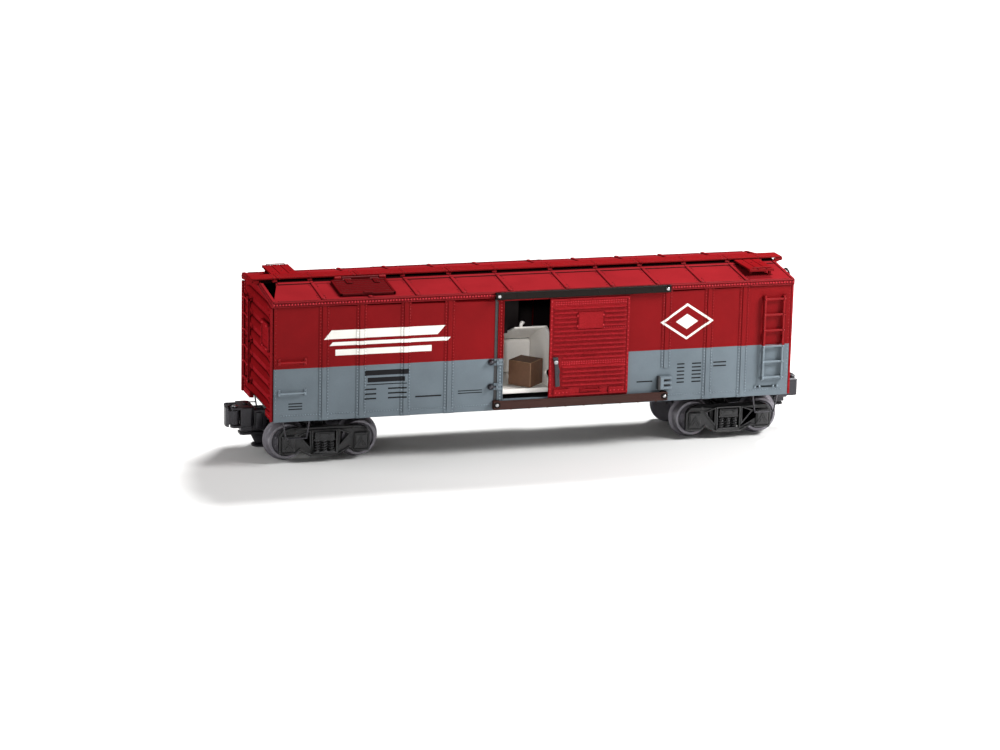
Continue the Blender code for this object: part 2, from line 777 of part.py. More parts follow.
def knuckle():
    """Hook that swings on the pin; only its barrel goes between the ears."""
    px, py = knuckle_place()
    barrel = rod((px, py, 17.0), (px, py, 24.3), 2.3, 14)
    arm = [(px + 0.2, py - 2.2), (px + 3.4, py - 2.2), (px + 3.4, py + 1.2), (px + 0.2, py + 2.2)]
    hook = [
        (px + 2.95, py + 0.6),
        (px + 3.8, py + 0.6),
        (px + 4.6, py - 0.6),
        (px + 4.6, py - 4.6),
        (px + 3.9, py - 6.3),
        (px + 2.6, py - 6.5),
        (px + 1.2, py - 5.4),
        (px + 1.4, py - 4.2),
        (px + 2.95, py - 3.2),
    ]
    solid = joined(barrel, plate([arm], 17.0, 24.3, "XY"), plate([hook], 15.6, 25.6, "XY"))
    return cut(solid, rod((px, py, 14), (px, py, 27), 1.15, 10))


def knuckle_pin():
    px, py = knuckle_place()
    shaft = rod((px, py, 15.1), (px, py, 26.4), 0.85, 10)
    return joined(shaft, rod((px, py, 26.2), (px, py, 26.8), 1.6, 10))


def trip_plate():
    """Plate with an arm down to the round button that an uncoupling track pulls."""
    cx = TRUCK_CENTRE_X
    top = box((cx + 26.0, -3.4, 10.6), (cx + 38.2, 3.4, 12.0))
    web_outline = [(cx + 32.6, 11.0), (cx + 29.6, 5.0), (cx + 25.4, 5.0), (cx + 26.4, 11.0)]
    web = plate([web_outline], -1.4, 1.4, "XZ")
    button = rod((cx + 27.4, 0, 4.0), (cx + 27.4, 0, 5.3), 4.4, 20)
    return joined(top, web, button)


# ---------------------------------------------------------------- dispenser


def bin_wall_outline():
    """Right wall of the bin, in (y, z): a bulged mouth, a relief cut low at the front, a sloping top."""
    y, z = KICKER_PIN
    mouth = arc((-16.4, 51.5), 12.2, 248, 105, 10)
    return (
        [(y + 1.6, BIN_FLOOR_Z[1] - 1.0), (-25.0, BIN_FLOOR_Z[1] - 1.0), (-25.0, 37.9), (-21.2, 38.8)]
        + mouth
        + [(y + 1.6, z + 2.4)]
    )


def merchandise_bin():
    """White bin: floor, right wall, sloping hood with its hook, and the left ear of the kicker's pin."""
    y, z = KICKER_PIN
    x0, x1 = BIN_X
    floor = box((x0, BIN_LIP_Y, BIN_FLOOR_Z[0]), (x1, y + 1.6, BIN_FLOOR_Z[1]))
    wall = plate([bin_wall_outline()], x1 - 1.0, x1, "YZ")
    mouth_y, mouth_z = -19.4, 63.3
    hood = [(y + 1.6, z + 1.9), (y + 1.6, z + 2.9), (mouth_y, mouth_z), (mouth_y, mouth_z - 1.0)]
    hood_plate = plate([hood], -8.2, x1 - 0.2, "YZ")
    hook = joined(
        box((-5.7, mouth_y + 0.2, mouth_z - 1.0), (-3.5, mouth_y + 1.3, mouth_z + 2.1)),
        rod((-5.7, mouth_y + 0.3, mouth_z + 1.9), (-3.5, mouth_y + 0.3, mouth_z + 1.9), 1.0, 10),
    )
    feet = []
    for x in (-14.0, 3.0):
        feet.append(box((x, -12.0, UNDERFRAME_Z[1] + GAP), (x + 3.0, -6.0, BIN_FLOOR_Z[0] + 0.5)))
    ear = plate(
        [
            [(y - 1.6, BIN_FLOOR_Z[1] - 1.0), (y - 1.6, z + 1.6)]
            + [(y + 1.6, z + 1.6), (y + 1.6, BIN_FLOOR_Z[1] - 1.0)]
        ],
        x0,
        x0 + 1.0,
        "YZ",
    )
    solid = joined(floor, wall, hood_plate, hook, ear, *feet)
    return cut(solid, rod((x0 - 1, y, z), (x1 + 1, y, z), 0.9, 10))


def kicker():
    """Paddle that hangs from its pin and forms the back of the bin."""
    y, z = KICKER_PIN
    x0, x1 = BIN_X[0] + 1.0 + GAP, BIN_X[1] - 1.0 - GAP
    paddle = box((x0, y - 1.5, BIN_FLOOR_Z[1] + 0.6), (x1, y - 0.5, z))
    barrel = rod((x0, y, z), (x1, y, z), 1.5, 12)
    return cut(joined(paddle, barrel), rod((x0 - 1, y, z), (x1 + 1, y, z), 0.9, 10))


def kicker_pin():
    y, z = KICKER_PIN
    return rod((BIN_X[0] + 0.1, y, z), (BIN_X[1] - 0.1, y, z), 0.65, 10)


def solenoid_frame():
    """Bracket around the coil: two end plates and a base on feet that stand on the underframe."""
    x, z = SOLENOID_X, SOLENOID_Z
    base = box((x - 9.0, 9.4, 31.2), (x + 9.0, 28.8, 32.4))
    extras = [box((x - 9.0, y, 31.2), (x + 9.0, y + 1.0, z + 8.8)) for y in (9.4, 27.8)]
    for fx in (x - 7.5, x + 7.5):
        for fy in (12.0, 26.0):
            extras.append(rod((fx, fy, UNDERFRAME_Z[1] + GAP), (fx, fy, 31.5), 1.6, 10))
    bore = rod((x, 8.0, z), (x, 30.0, z), 2.95, 14)
    return cut(joined(base, *extras), bore)


def solenoid_coil():
    """Winding on its bobbin, open down the middle for the plunger."""
    x, z = SOLENOID_X, SOLENOID_Z
    winding = rod((x, 11.0, z), (x, 27.2, z), 7.4, 20)
    cheeks = [rod((x, y, z), (x, y + 0.9, z), 8.2, 20) for y in (10.7, 26.6)]
    return cut(joined(winding, *cheeks), rod((x, 9.0, z), (x, 29.0, z), 2.95, 14))


def plunger():
    x, z = SOLENOID_X, SOLENOID_Z
    tip_y = KICKER_PIN[0] - 0.5 + 0.6
    return joined(rod((x, 7.4, z), (x, 26.8, z), 2.6, 14), rod((x, tip_y, z), (x, 7.8, z), 1.1, 10))


def chute_floor_z(x):
    """Top of the chute's sloping floor."""
    return 44.0 + (-19.0 - x) * (71.0 - 44.0) / (104.0 - 19.0)


def magazine_chute():
    """Sloping channel that leads cubes from under the hatch down to the bin."""
    x0, x1, x2 = -104.0, -19.0, -2.9
    top = 80.4
    side = [(x0, chute_floor_z(x0) - 1.4), (x1, chute_floor_z(x1) - 1.4), (x1, top), (x0, top)]
    rear = side[:2] + [(x1, 57.8), (-8.6, 57.8), (-8.6, 60.2), (x2, 60.2), (x2, top), (x0, top)]
    floor = [
        (x0, chute_floor_z(x0) - 1.4),
        (x1, chute_floor_z(x1) - 1.4),
        (x1, chute_floor_z(x1)),
        (x0, chute_floor_z(x0)),
    ]
    front = plate([side], -26.8, -25.8, "XZ")
    extras = [
        plate([rear], -9.2, -8.2, "XZ"),
        plate([floor], -26.3, -8.7, "XZ"),
        box((x0, -26.8, chute_floor_z(x0) - 1.4), (x0 + 1.2, -8.2, top)),
    ]
    for x in (-90.0, -40.0):
        foot_top = chute_floor_z(x) - 0.6
        extras.append(box((x - 3.0, -20.0, UNDERFRAME_Z[1] + GAP), (x + 3.0, -15.0, foot_top)))
    return joined(front, *extras)


def merchandise_cube():
    half = CUBE / 2
    mesh = box((-half, -half, 0), (half, half, CUBE))
    z = BIN_FLOOR_Z[1] + GAP
    place = Matrix.Translation((CUBE_CENTRE[0], CUBE_CENTRE[1], z))
    mesh.transform(place @ Matrix.Rotation(CUBE_TURN, 4, "Z"))
    return mesh


# ---------------------------------------------------------------- hand brake


def brake_housing():
    y, z = BRAKE_CENTRE
    back = BODY_LENGTH / 2 + END_RIB_PROUD + 0.2
    case = box((back, y - 2.5, z - 2.6), (back + 2.3, y + 2.5, z + 2.8))
    return joined(case, rod((back + 2.0, y, z), (back + 4.7, y, z), 0.6, 10))


def brake_wheel():
    y, z = BRAKE_CENTRE
    x = BODY_LENGTH / 2 + END_RIB_PROUD + 3.9
    rim = ring((x, y, z), BRAKE_R, 0.45, (1, 0, 0))
    hub = rod((x - 0.8, y, z), (x + 0.8, y, z), 1.5, 12)
    spokes = []
    for i in range(5):
        turn = 2 * pi * i / 5 + pi / 2
        across = (cos(turn), sin(turn))
        start = (x, y + 1.1 * across[0], z + 1.1 * across[1])
        end = (x, y + BRAKE_R * across[0], z + BRAKE_R * across[1])
        spokes.append(rod(start, end, 0.32, 6))
    bore = rod((x - 2, y, z), (x + 2, y, z), 0.9, 10)
    return cut(joined(rim, hub, *spokes), bore)


# ---------------------------------------------------------------- assembly


def add_shell(car):
    side, end = side_panel(), end_panel()
    car.add("body_side_front", side.copy(), "red")
    car.add("body_side_rear", half_turned(side), "red")
    car.add("body_end_right", end.copy(), "red")
    car.add("body_end_left", half_turned(end), "red")
    car.add("roof", roof(), "red")
    car.add("roof_walk", roof_walk(), "red")
    board = lateral_board()
    car.add("lateral_board_front", board.copy(), "red")
    car.add("lateral_board_rear", half_turned(board), "red")
    side_wall = -BODY_WIDTH / 2
    end_wall = BODY_LENGTH / 2 + END_RIB_PROUD
    side_ladder = ladder(LADDER_X[0], LADDER_X[1], side_wall - 2.3, side_wall, "X")
    end_ladder = ladder(-END_LADDER_Y[1], -END_LADDER_Y[0], end_wall + 1.5, end_wall, "Y")
    car.add("ladder_side_front", side_ladder.copy(), "red")
    car.add("ladder_side_rear", half_turned(side_ladder), "red")
    car.add("ladder_end_right", end_ladder.copy(), "red")
    car.add("ladder_end_left", half_turned(end_ladder), "red")
    board = tack_board()
    car.add("tack_board_left", board.copy(), "red")
    car.add("tack_board_right", half_turned(board), "red")
    for name, z in zip(("lower", "upper"), GRAB_ZS):
        iron = grab_iron(z)
        car.add("grab_iron_front_" + name, iron.copy(), "red")
        car.add("grab_iron_rear_" + name, half_turned(iron), "red")
    for name, x0, x1 in (("left", -130.1, -116.4), ("right", 116.4, 130.1)):
        step = stirrup(x0, x1)
        car.add("step_front_" + name, step.copy(), "black_metal")
        car.add("step_rear_" + name, half_turned(step), "black_metal")


def add_doors(car):
    for name, turn in (("front", False), ("rear", True)):
        opened = 0.0 if turn else DOOR_OPENED_BY
        left = DOOR_LEFT_CLOSED + opened
        pieces = {
            "guide_top_": (top_guide(), "black", None),
            "guide_bottom_": (bottom_guide(), "black", None),
            "door_": (door(left), "red", "slide_"),
            "door_latch_": (door_latch(left), "black_metal", "slide_"),
        }
        middle = left + DOOR_WIDTH / 2
        face = (DOOR_FACE_Y + DOOR_INNER_Y) / 2
        height = sum(DOOR_Z) / 2
        place = (-middle, -face, height) if turn else (middle, face, height)
        car.pivot("slide_" + name, place)
        for label, (mesh, finish, pivot) in pieces.items():
            mesh = half_turned(mesh) if turn else mesh
            car.add(label + name, mesh, finish, pivot + name if pivot else None)


def add_hatch(car):
    y, z = HATCH_PIN
    car.pivot("hatch_axis", (sum(HATCH_X) / 2, y, z))
    car.add("roof_hatch", roof_hatch(), "red", "hatch_axis")
    car.add("hatch_pin", hatch_pin(), "steel")


def add_running_gear(car):
    car.add("underframe", underframe(), "black")
    frame, pin, head = truck_frame(), kingpin(), coupler_head()
    hook, hook_pin, trip, wheels = knuckle(), knuckle_pin(), trip_plate(), wheelset()
    for name, side in (("right", 1), ("left", -1)):
        turn = side < 0
        cx = side * TRUCK_CENTRE_X

        def placed(mesh, turn=turn):
            return half_turned(mesh) if turn else mesh.copy()

        truck = "truck_" + name
        car.pivot(truck, (cx, 0, 20.5))
        car.add("truck_frame_" + name, placed(frame), "black", truck)
        car.add("coupler_head_" + name, placed(head), "black_metal", truck)
        car.add("knuckle_pin_" + name, placed(hook_pin), "steel", truck)
        car.add("kingpin_" + name, placed(pin), "steel")
        px, py = knuckle_place()
        car.pivot("knuckle_axis_" + name, (side * px, side * py, 20.6), truck)
        car.add("knuckle_" + name, placed(hook), "black_metal", "knuckle_axis_" + name)
        car.pivot("trip_axis_" + name, (side * (TRUCK_CENTRE_X + 38.0), 0, 11.3), truck)
        car.add("trip_plate_" + name, placed(trip), "black_metal", "trip_axis_" + name)
        for label, offset in (("outer", side * WHEELBASE / 2), ("inner", -side * WHEELBASE / 2)):
            axle = "axle_" + name + "_" + label
            car.pivot(axle, (cx + offset, 0, AXLE_Z), truck)
            car.add("wheelset_" + name + "_" + label, moved(wheels, cx + offset, 0, AXLE_Z), "wheel", axle)


def add_dispenser(car):
    y, z = KICKER_PIN
    car.add("merchandise_bin", merchandise_bin(), "white")
    car.add("magazine_chute", magazine_chute(), "dark_grey")
    car.add("kicker_pin", kicker_pin(), "steel")
    car.add("solenoid_frame", solenoid_frame(), "steel")
    car.add("solenoid_coil", solenoid_coil(), "copper")
    car.pivot("kicker_axis", (sum(BIN_X) / 2, y, z))
    car.add("kicker", kicker(), "white", "kicker_axis")
    car.pivot("plunger_axis", (SOLENOID_X, 20.0, SOLENOID_Z))
    car.add("plunger", plunger(), "steel", "plunger_axis")
    car.pivot("cube_place", (CUBE_CENTRE[0], CUBE_CENTRE[1], BIN_FLOOR_Z[1] + CUBE / 2))
    car.add("merchandise_cube", merchandise_cube(), "brown", "cube_place")


def add_brake(car):
    y, z = BRAKE_CENTRE
    car.add("brake_housing", brake_housing(), "black_metal")
    car.pivot("brake_axis", (BODY_LENGTH / 2 + END_RIB_PROUD + 3.9, y, z))
    car.add("brake_wheel", brake_wheel(), "black_metal", "brake_axis")


def main():
    clear_scene()
    car = Assembly()
    add_shell(car)
    add_doors(car)
    add_hatch(car)
    add_running_gear(car)
    add_dispenser(car)
    add_brake(car)
    bpy.context.view_layer.update()


main()
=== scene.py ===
"""Looks of the O-gauge operating box car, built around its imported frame.

Every length below is in millimetres in the frame's own axes, and is turned into metres when a
piece is made. Front is -Y. The car has half-turn symmetry, so rear and left pieces are front and
right pieces turned about Z.
"""

import json
from math import cos, pi, radians, sin

import bmesh
import bpy
from mathutils import Matrix, Vector


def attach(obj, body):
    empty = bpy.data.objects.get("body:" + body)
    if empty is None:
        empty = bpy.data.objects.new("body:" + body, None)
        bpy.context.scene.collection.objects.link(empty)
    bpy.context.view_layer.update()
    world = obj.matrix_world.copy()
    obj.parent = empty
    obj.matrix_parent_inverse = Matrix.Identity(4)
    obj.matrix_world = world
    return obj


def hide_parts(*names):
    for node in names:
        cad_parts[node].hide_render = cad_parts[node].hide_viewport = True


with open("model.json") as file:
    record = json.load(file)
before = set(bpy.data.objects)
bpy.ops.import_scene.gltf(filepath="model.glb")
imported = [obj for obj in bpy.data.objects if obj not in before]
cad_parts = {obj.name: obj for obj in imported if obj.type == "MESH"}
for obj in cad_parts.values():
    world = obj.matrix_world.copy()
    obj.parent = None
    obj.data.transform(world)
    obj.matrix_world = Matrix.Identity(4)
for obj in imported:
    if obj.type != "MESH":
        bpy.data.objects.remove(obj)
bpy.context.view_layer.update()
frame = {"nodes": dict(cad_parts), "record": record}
MM = 0.001
HALF_TURN = Matrix.Rotation(pi, 4, "Z")
MIRROR = {
    "front": Matrix.Identity(4), "rear": HALF_TURN, "right": Matrix.Identity(4), "left": HALF_TURN
}

# Body
HALF_LENGTH = 134.95
SIDE_Y = 32.7
WALL = 1.6
SILL_Z = 24.2
WALL_TOP_Z = 82.1
BAND_Z = 51.0
SEAM_XS = (-109.7, -90.8, -68.2, -45.8, 68.2, 90.8, 109.7)
DOORWAY = (17.9, 28.8, 80.2)
EAVE_Z, RIDGE_Z = 85.0, 89.0
ROOF_X, ROOF_Y = 136.0, 33.8
ROOF_RIB_XS = (14.7, 38.7, 62.6, 86.4, 110.3)
TRUCK_X = 106.8
HALF_WHEELBASE = 18.5
AXLE_Z = 10.9


# ---------------------------------------------------------------- geometry


def bm_box(low, high):
    bm = bmesh.new()
    bmesh.ops.create_cube(bm, size=1.0)
    low, high = Vector(low), Vector(high)
    bmesh.ops.scale(bm, vec=high - low, verts=bm.verts)
    bmesh.ops.translate(bm, vec=(high + low) / 2, verts=bm.verts)
    return bm


def plane_point(plane, a, b, c):
    return {"XY": (a, b, c), "XZ": (a, c, b), "YZ": (c, a, b)}[plane]


def bm_prism(outline, low, high, plane):
    """An outline extruded from low to high across a plane, as one closed solid."""
    bm = bmesh.new()
    near = [bm.verts.new(plane_point(plane, a, b, low)) for a, b in outline]
    far = [bm.verts.new(plane_point(plane, a, b, high)) for a, b in outline]
    bm.faces.new(near)
    bm.faces.new(list(reversed(far)))
    for i in range(len(near)):
        j = (i + 1) % len(near)
        bm.faces.new((near[i], far[i], far[j], near[j]))
    bmesh.ops.recalc_face_normals(bm, faces=bm.faces)
    return bm


def bm_curve(curve):
    """The welded mesh that a curve makes."""
    obj = bpy.data.objects.new("curve", curve)
    bpy.context.scene.collection.objects.link(obj)
    bpy.context.view_layer.update()
    graph = bpy.context.evaluated_depsgraph_get()
    mesh = bpy.data.meshes.new_from_object(obj.evaluated_get(graph))
    bpy.data.objects.remove(obj, do_unlink=True)
    bm = bmesh.new()
    bm.from_mesh(mesh)
    bmesh.ops.remove_doubles(bm, verts=bm.verts, dist=0.001)
    bmesh.ops.recalc_face_normals(bm, faces=bm.faces)
    return bm


def bm_plate(outlines, low, high, plane):
    """As bm_prism, for an outline with holes."""
    curve = bpy.data.curves.new("outline", "CURVE")
    curve.dimensions = "2D"
    curve.fill_mode = "BOTH"
    curve.extrude = (high - low) / 2
    for outline in outlines:
        spline = curve.splines.new("POLY")
        spline.points.add(len(outline) - 1)
        for point, (a, b) in zip(spline.points, outline):
            point.co = (a, b, 0, 1)
        spline.use_cyclic_u = True
    bm = bm_curve(curve)
    middle = (low + high) / 2
    for vert in bm.verts:
        a, b, c = vert.co
        vert.co = plane_point(plane, a, b, c + middle)
    bmesh.ops.dissolve_limit(bm, angle_limit=radians(0.5), verts=bm.verts, edges=bm.edges)
    bmesh.ops.recalc_face_normals(bm, faces=bm.faces)
    return bm


def bm_rod(start, end, radius, segments=24, end_radius=None):
    start, end = Vector(start), Vector(end)
    axis = end - start
    bm = bmesh.new()
    second = radius if end_radius is None else end_radius
    bmesh.ops.create_cone(
        bm, cap_ends=True, segments=segments, radius1=radius, radius2=second, depth=axis.length
    )
    turn = Vector((0, 0, 1)).rotation_difference(axis).to_matrix().to_4x4()
    bmesh.ops.transform(bm, matrix=Matrix.Translation((start + end) / 2) @ turn, verts=bm.verts)
    return bm


def bm_lathe(profile, centre, axis, steps=48):
    """(distance along axis, radius) points turned about an axis through centre."""
    bm = bmesh.new()
    turn = Vector((0, 0, 1)).rotation_difference(Vector(axis)).to_matrix().to_4x4()
    place = Matrix.Translation(centre) @ turn
    rings = []
    for along, radius in profile:
        if radius < 1e-6:
            rings.append([bm.verts.new(place @ Vector((0, 0, along)))])
            continue
        ring = []
        for i in range(steps):
            angle = 2 * pi * i / steps
            ring.append(bm.verts.new(place @ Vector((
                radius * cos(angle), radius * sin(angle), along
            ))))
        rings.append(ring)
    for first, second in zip(rings, rings[1:]):
        for i in range(steps):
            j = (i + 1) % steps
            quad = [
                first[i % len(first)], first[j % len(first)], second[j % len(second)],
                second[i % len(second)]
            ]
            corners = list(dict.fromkeys(quad))
            if len(corners) > 2:
                bm.faces.new(corners)
    for ring in (rings[0], rings[-1]):
        if len(ring) > 2:
            bm.faces.new(ring)
    bmesh.ops.recalc_face_normals(bm, faces=bm.faces)
    return bm


def rounded(points, radius, steps=5):
    """The path with its inner corners rounded."""
    points = [Vector(p) for p in points]
    path = [points[0]]
    for before, corner, after in zip(points, points[1:], points[2:]):
        reach = min(radius, (before - corner).length / 2, (after - corner).length / 2)
        start = corner + (before - corner).normalized() * reach
        end = corner + (after - corner).normalized() * reach
        for i in range(steps + 1):
            t = i / steps
            path.append(start * (1 - t) ** 2 + corner * 2 * t * (1 - t) + end * t * t)
    return path + [points[-1]]


def bm_tube(points, radius, resolution=3):
    curve = bpy.data.curves.new("wire", "CURVE")
    curve.dimensions = "3D"
    curve.bevel_depth = radius
    curve.bevel_resolution = resolution
    curve.use_fill_caps = True
    spline = curve.splines.new("POLY")
    spline.points.add(len(points) - 1)
    for point, place in zip(spline.points, points):
        point.co = (*place, 1)
    return bm_curve(curve)


def helix(centre, radius, height, turns, steps=12):
    x, y, z = centre
    count = int(turns * steps)
    path = []
    for i in range(count + 1):
        angle = 2 * pi * i / steps
        path.append(Vector((
            x + radius * cos(angle), y + radius * sin(angle), z + height * i / count
        )))
    return path


def bm_loft(sections):
    """Closed solid through equal-length rings of points."""
    bm = bmesh.new()
    rings = [[bm.verts.new(p) for p in section] for section in sections]
    for first, second in zip(rings, rings[1:]):
        for i in range(len(first)):
            j = (i + 1) % len(first)
            bm.faces.new((first[i], first[j], second[j], second[i]))
    bm.faces.new(rings[0])
    bm.faces.new(list(reversed(rings[-1])))
    bmesh.ops.recalc_face_normals(bm, faces=bm.faces)
    return bm


def inset(outline, amount):
    """The outline moved inwards by an amount. It is given anticlockwise."""
    moved = []
    count = len(outline)
    for i in range(count):
        before, here, after = (Vector(outline[(i + k) % count]) for k in (-1, 0, 1))
        first, second = (here - before).normalized(), (after - here).normalized()
        one, two = Vector((-first.y, first.x)), Vector((-second.y, second.x))
        middle = (one + two).normalized()
        moved.append(tuple(here + middle * amount / max(middle.dot(one), 0.3)))
    return moved


def arc(centre, radius, start, end, count):
    turns = [radians(start + (end - start) * i / count) for i in range(count + 1)]
    return [(centre[0] + radius * cos(t), centre[1] + radius * sin(t)) for t in turns]


class Shape:
    """Parts of one piece, gathered as plain lists so that thousands of rivets stay quick."""

    def __init__(self):
        self.points = []
        self.faces = []
        self.heads = None

    def add(self, bm, bevel=0.0, segments=2):
        if bevel:
            sharp = [
                e for e in bm.edges if len(e.link_faces) == 2 and e.calc_face_angle() > radians(28)
            ]
            bmesh.ops.bevel(
                bm,
                geom=sharp,
                offset=bevel,
                segments=segments,
                profile=0.5,
                affect="EDGES",
                clamp_overlap=True,
            )
        base = len(self.points)
        bm.verts.index_update()
        self.points += [v.co.copy() for v in bm.verts]
        self.faces += [[base + v.index for v in f.verts] for f in bm.faces]
        bm.free()
        return self

    def box(self, low, high, bevel=0.12):
        low, high = [min(p) for p in zip(low, high)], [max(p) for p in zip(low, high)]
        return self.add(bm_box(low, high), bevel)

    def prism(self, outline, low, high, plane, bevel=0.12):
        return self.add(bm_prism(outline, low, high, plane), bevel)

    def rod(self, start, end, radius, bevel=0.0, segments=24, end_radius=None):
        return self.add(bm_rod(start, end, radius, segments, end_radius), bevel)

    def dome(self, centre, normal, radius=0.3, height=0.24, sides=8):
        """A round-headed rivet standing on a surface. Rivets make up an object of their own."""
        if self.heads is None:
            self.heads = Shape()
        self.heads.head(centre, normal, radius * 1.25, height * 1.4, sides)
        return self

    def head(self, centre, normal, radius, height, sides):
        normal = Vector(normal).normalized()
        across = normal.orthogonal().normalized()
        up = normal.cross(across)
        centre = Vector(centre)
        base = len(self.points)
        for size, lift in ((1.0, -0.25), (0.95, 0.35), (0.6, 0.85)):
            for i in range(sides):
                angle = 2 * pi * i / sides
                ring = (across * cos(angle) + up * sin(angle)) * radius * size
                self.points.append(centre + ring + normal * height * lift)
        self.points.append(centre + normal * height)
        top = base + 3 * sides
        for ring in range(2):
            for i in range(sides):
                j = (i + 1) % sides
                a, b = base + ring * sides, base + (ring + 1) * sides
                self.faces.append([a + i, a + j, b + j, b + i])
        for i in range(sides):
            self.faces.append([base + 2 * sides + i, base + 2 * sides + (i + 1) % sides, top])
        self.faces.append([base + i for i in reversed(range(sides))])
        return self

    def row(self, start, end, pitch, normal, radius=0.3, height=0.24, sides=8):
        """Rivets at an even pitch from start to end."""
        start, end = Vector(start), Vector(end)
        count = max(1, round((end - start).length / pitch))
        for i in range(count + 1):
            self.dome(start.lerp(end, i / count), normal, radius, height, sides)
        return self

    def hexagon(self, centre, normal, radius=0.8, height=0.6):
        centre, normal = Vector(centre), Vector(normal).normalized()
        return self.add(bm_rod(centre - normal * 0.2, centre + normal * height, radius, 6), 0.1)

    def merge(self, other, matrix=None):
        base = len(self.points)
        matrix = matrix or Matrix.Identity(4)
        self.points += [matrix @ p for p in other.points]
        self.faces += [[base + i for i in face] for face in other.faces]
        if other.heads:
            self.heads = (self.heads or Shape()).merge(other.heads, matrix)
        return self

    def mesh(self, name, matrix):
        mesh = bpy.data.meshes.new(name)
        scaled = Matrix.Scale(MM, 4) @ matrix
        mesh.from_pydata([scaled @ p for p in self.points], [], self.faces)
        bm = bmesh.new()
        bm.from_mesh(mesh)
        bmesh.ops.recalc_face_normals(bm, faces=bm.faces)
        bm.to_mesh(mesh)
        bm.free()
        mesh.shade_smooth()
        mesh.set_sharp_from_angle(angle=radians(52))
        return mesh


def piece(name, shape, body, material, replaces=(), matrix=None, sharp=52):
    """Makes a shape an object that rides on a body, and stands for the CAD nodes it replaces."""
    mesh = shape.mesh(name, matrix or Matrix.Identity(4))
    mesh.set_sharp_from_angle(angle=radians(sharp))
    mesh.materials.append(material)
    obj = bpy.data.objects.new(name, mesh)
    bpy.context.scene.collection.objects.link(obj)
    weighted = obj.modifiers.new("weighted_normals", "WEIGHTED_NORMAL")
    weighted.keep_sharp = True
    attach(obj, body)
    if replaces:
        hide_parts(*replaces)
    return obj


# ---------------------------------------------------------------- materials


class Nodes:
    """Short calls for building a material's node tree."""

    def __init__(self, name):
        self.material = bpy.data.materials.new(name)
        self.material.use_nodes = True
        self.tree = self.material.node_tree
        self.shader = self.tree.nodes["Principled BSDF"]

    def node(self, kind, **settings):
        made = self.tree.nodes.new(kind)
        for key, value in settings.items():
            setattr(made, key, value)
        return made

    def put(self, socket, value):
        if isinstance(value, bpy.types.NodeSocket):
            self.tree.links.new(value, socket)
        else:
            socket.default_value = value

    def math(self, operation, *values):
        made = self.node("ShaderNodeMath", operation=operation)
        for socket, value in zip(made.inputs, values):
            self.put(socket, value)
        return made.outputs[0]

    def place(self):
        """Object coordinates in millimetres."""
        coords = self.node("ShaderNodeTexCoord")
        scale = self.node("ShaderNodeVectorMath", operation="SCALE")
        self.put(scale.inputs[0], coords.outputs["Object"])
        scale.inputs["Scale"].default_value = 1000.0
        return scale.outputs[0]

    def split(self, vector):
        made = self.node("ShaderNodeSeparateXYZ")
        self.put(made.inputs[0], vector)
        return made.outputs

    def noise(self, vector, scale, detail=3.0, rough=0.5):
        made = self.node("ShaderNodeTexNoise")
        self.put(made.inputs["Vector"], vector)
        made.inputs["Scale"].default_value = scale
        made.inputs["Detail"].default_value = detail
        made.inputs["Roughness"].default_value = rough
        return made.outputs["Fac"]

    def remap(self, value, low, high, to_low, to_high):
        made = self.node("ShaderNodeMapRange")
        for socket, number in zip(made.inputs, (value, low, high, to_low, to_high)):
            self.put(socket, number)
        return made.outputs[0]

    def mix(self, factor, first, second):
        made = self.node("ShaderNodeMix", data_type="RGBA")
        self.put(made.inputs["Factor"], factor)
        self.put(made.inputs[6], first)
        self.put(made.inputs[7], second)
        return made.outputs[2]

    def shade(self, colour, amount):
        """The colour multiplied by an amount that varies over the surface."""
        made = self.node("ShaderNodeMix", data_type="RGBA", blend_type="MULTIPLY")
        made.inputs["Factor"].default_value = 1.0
        self.put(made.inputs[6], colour)
        grey = self.node("ShaderNodeCombineColor")
        for socket in grey.inputs:
            self.put(socket, amount)
        self.put(made.inputs[7], grey.outputs[0])
        return made.outputs[2]

    def painted_crevice_shade(self, distance, dark):
        """Painted shade: how far a point lies in a corner or between close parts, as an amount to
        darken the colour by.
        """
        made = self.node("ShaderNodeAmbientOcclusion", samples=8)
        made.inputs["Distance"].default_value = distance * MM
        return self.remap(self.math("POWER", made.outputs["AO"], 1.6), 0.0, 0.85, dark, 1.0)

    def bump(self, height, strength, distance):
        made = self.node("ShaderNodeBump")
        made.inputs["Strength"].default_value = strength
        made.inputs["Distance"].default_value = distance * MM
        self.put(made.inputs["Height"], height)
        self.put(self.shader.inputs["Normal"], made.outputs[0])

    def within(self, value, low, high):
        return self.math(
            "MULTIPLY", self.math("GREATER_THAN", value, low), self.math("LESS_THAN", value, high)
        )


def rgb(red, green, blue):
    """sRGB numbers from 0 to 255 as a linear colour."""
    linear = []
    for value in (red, green, blue):
        v = value / 255
        linear.append(v / 12.92 if v <= 0.04045 else ((v + 0.055) / 1.055) ** 2.4)
    return (*linear, 1.0)


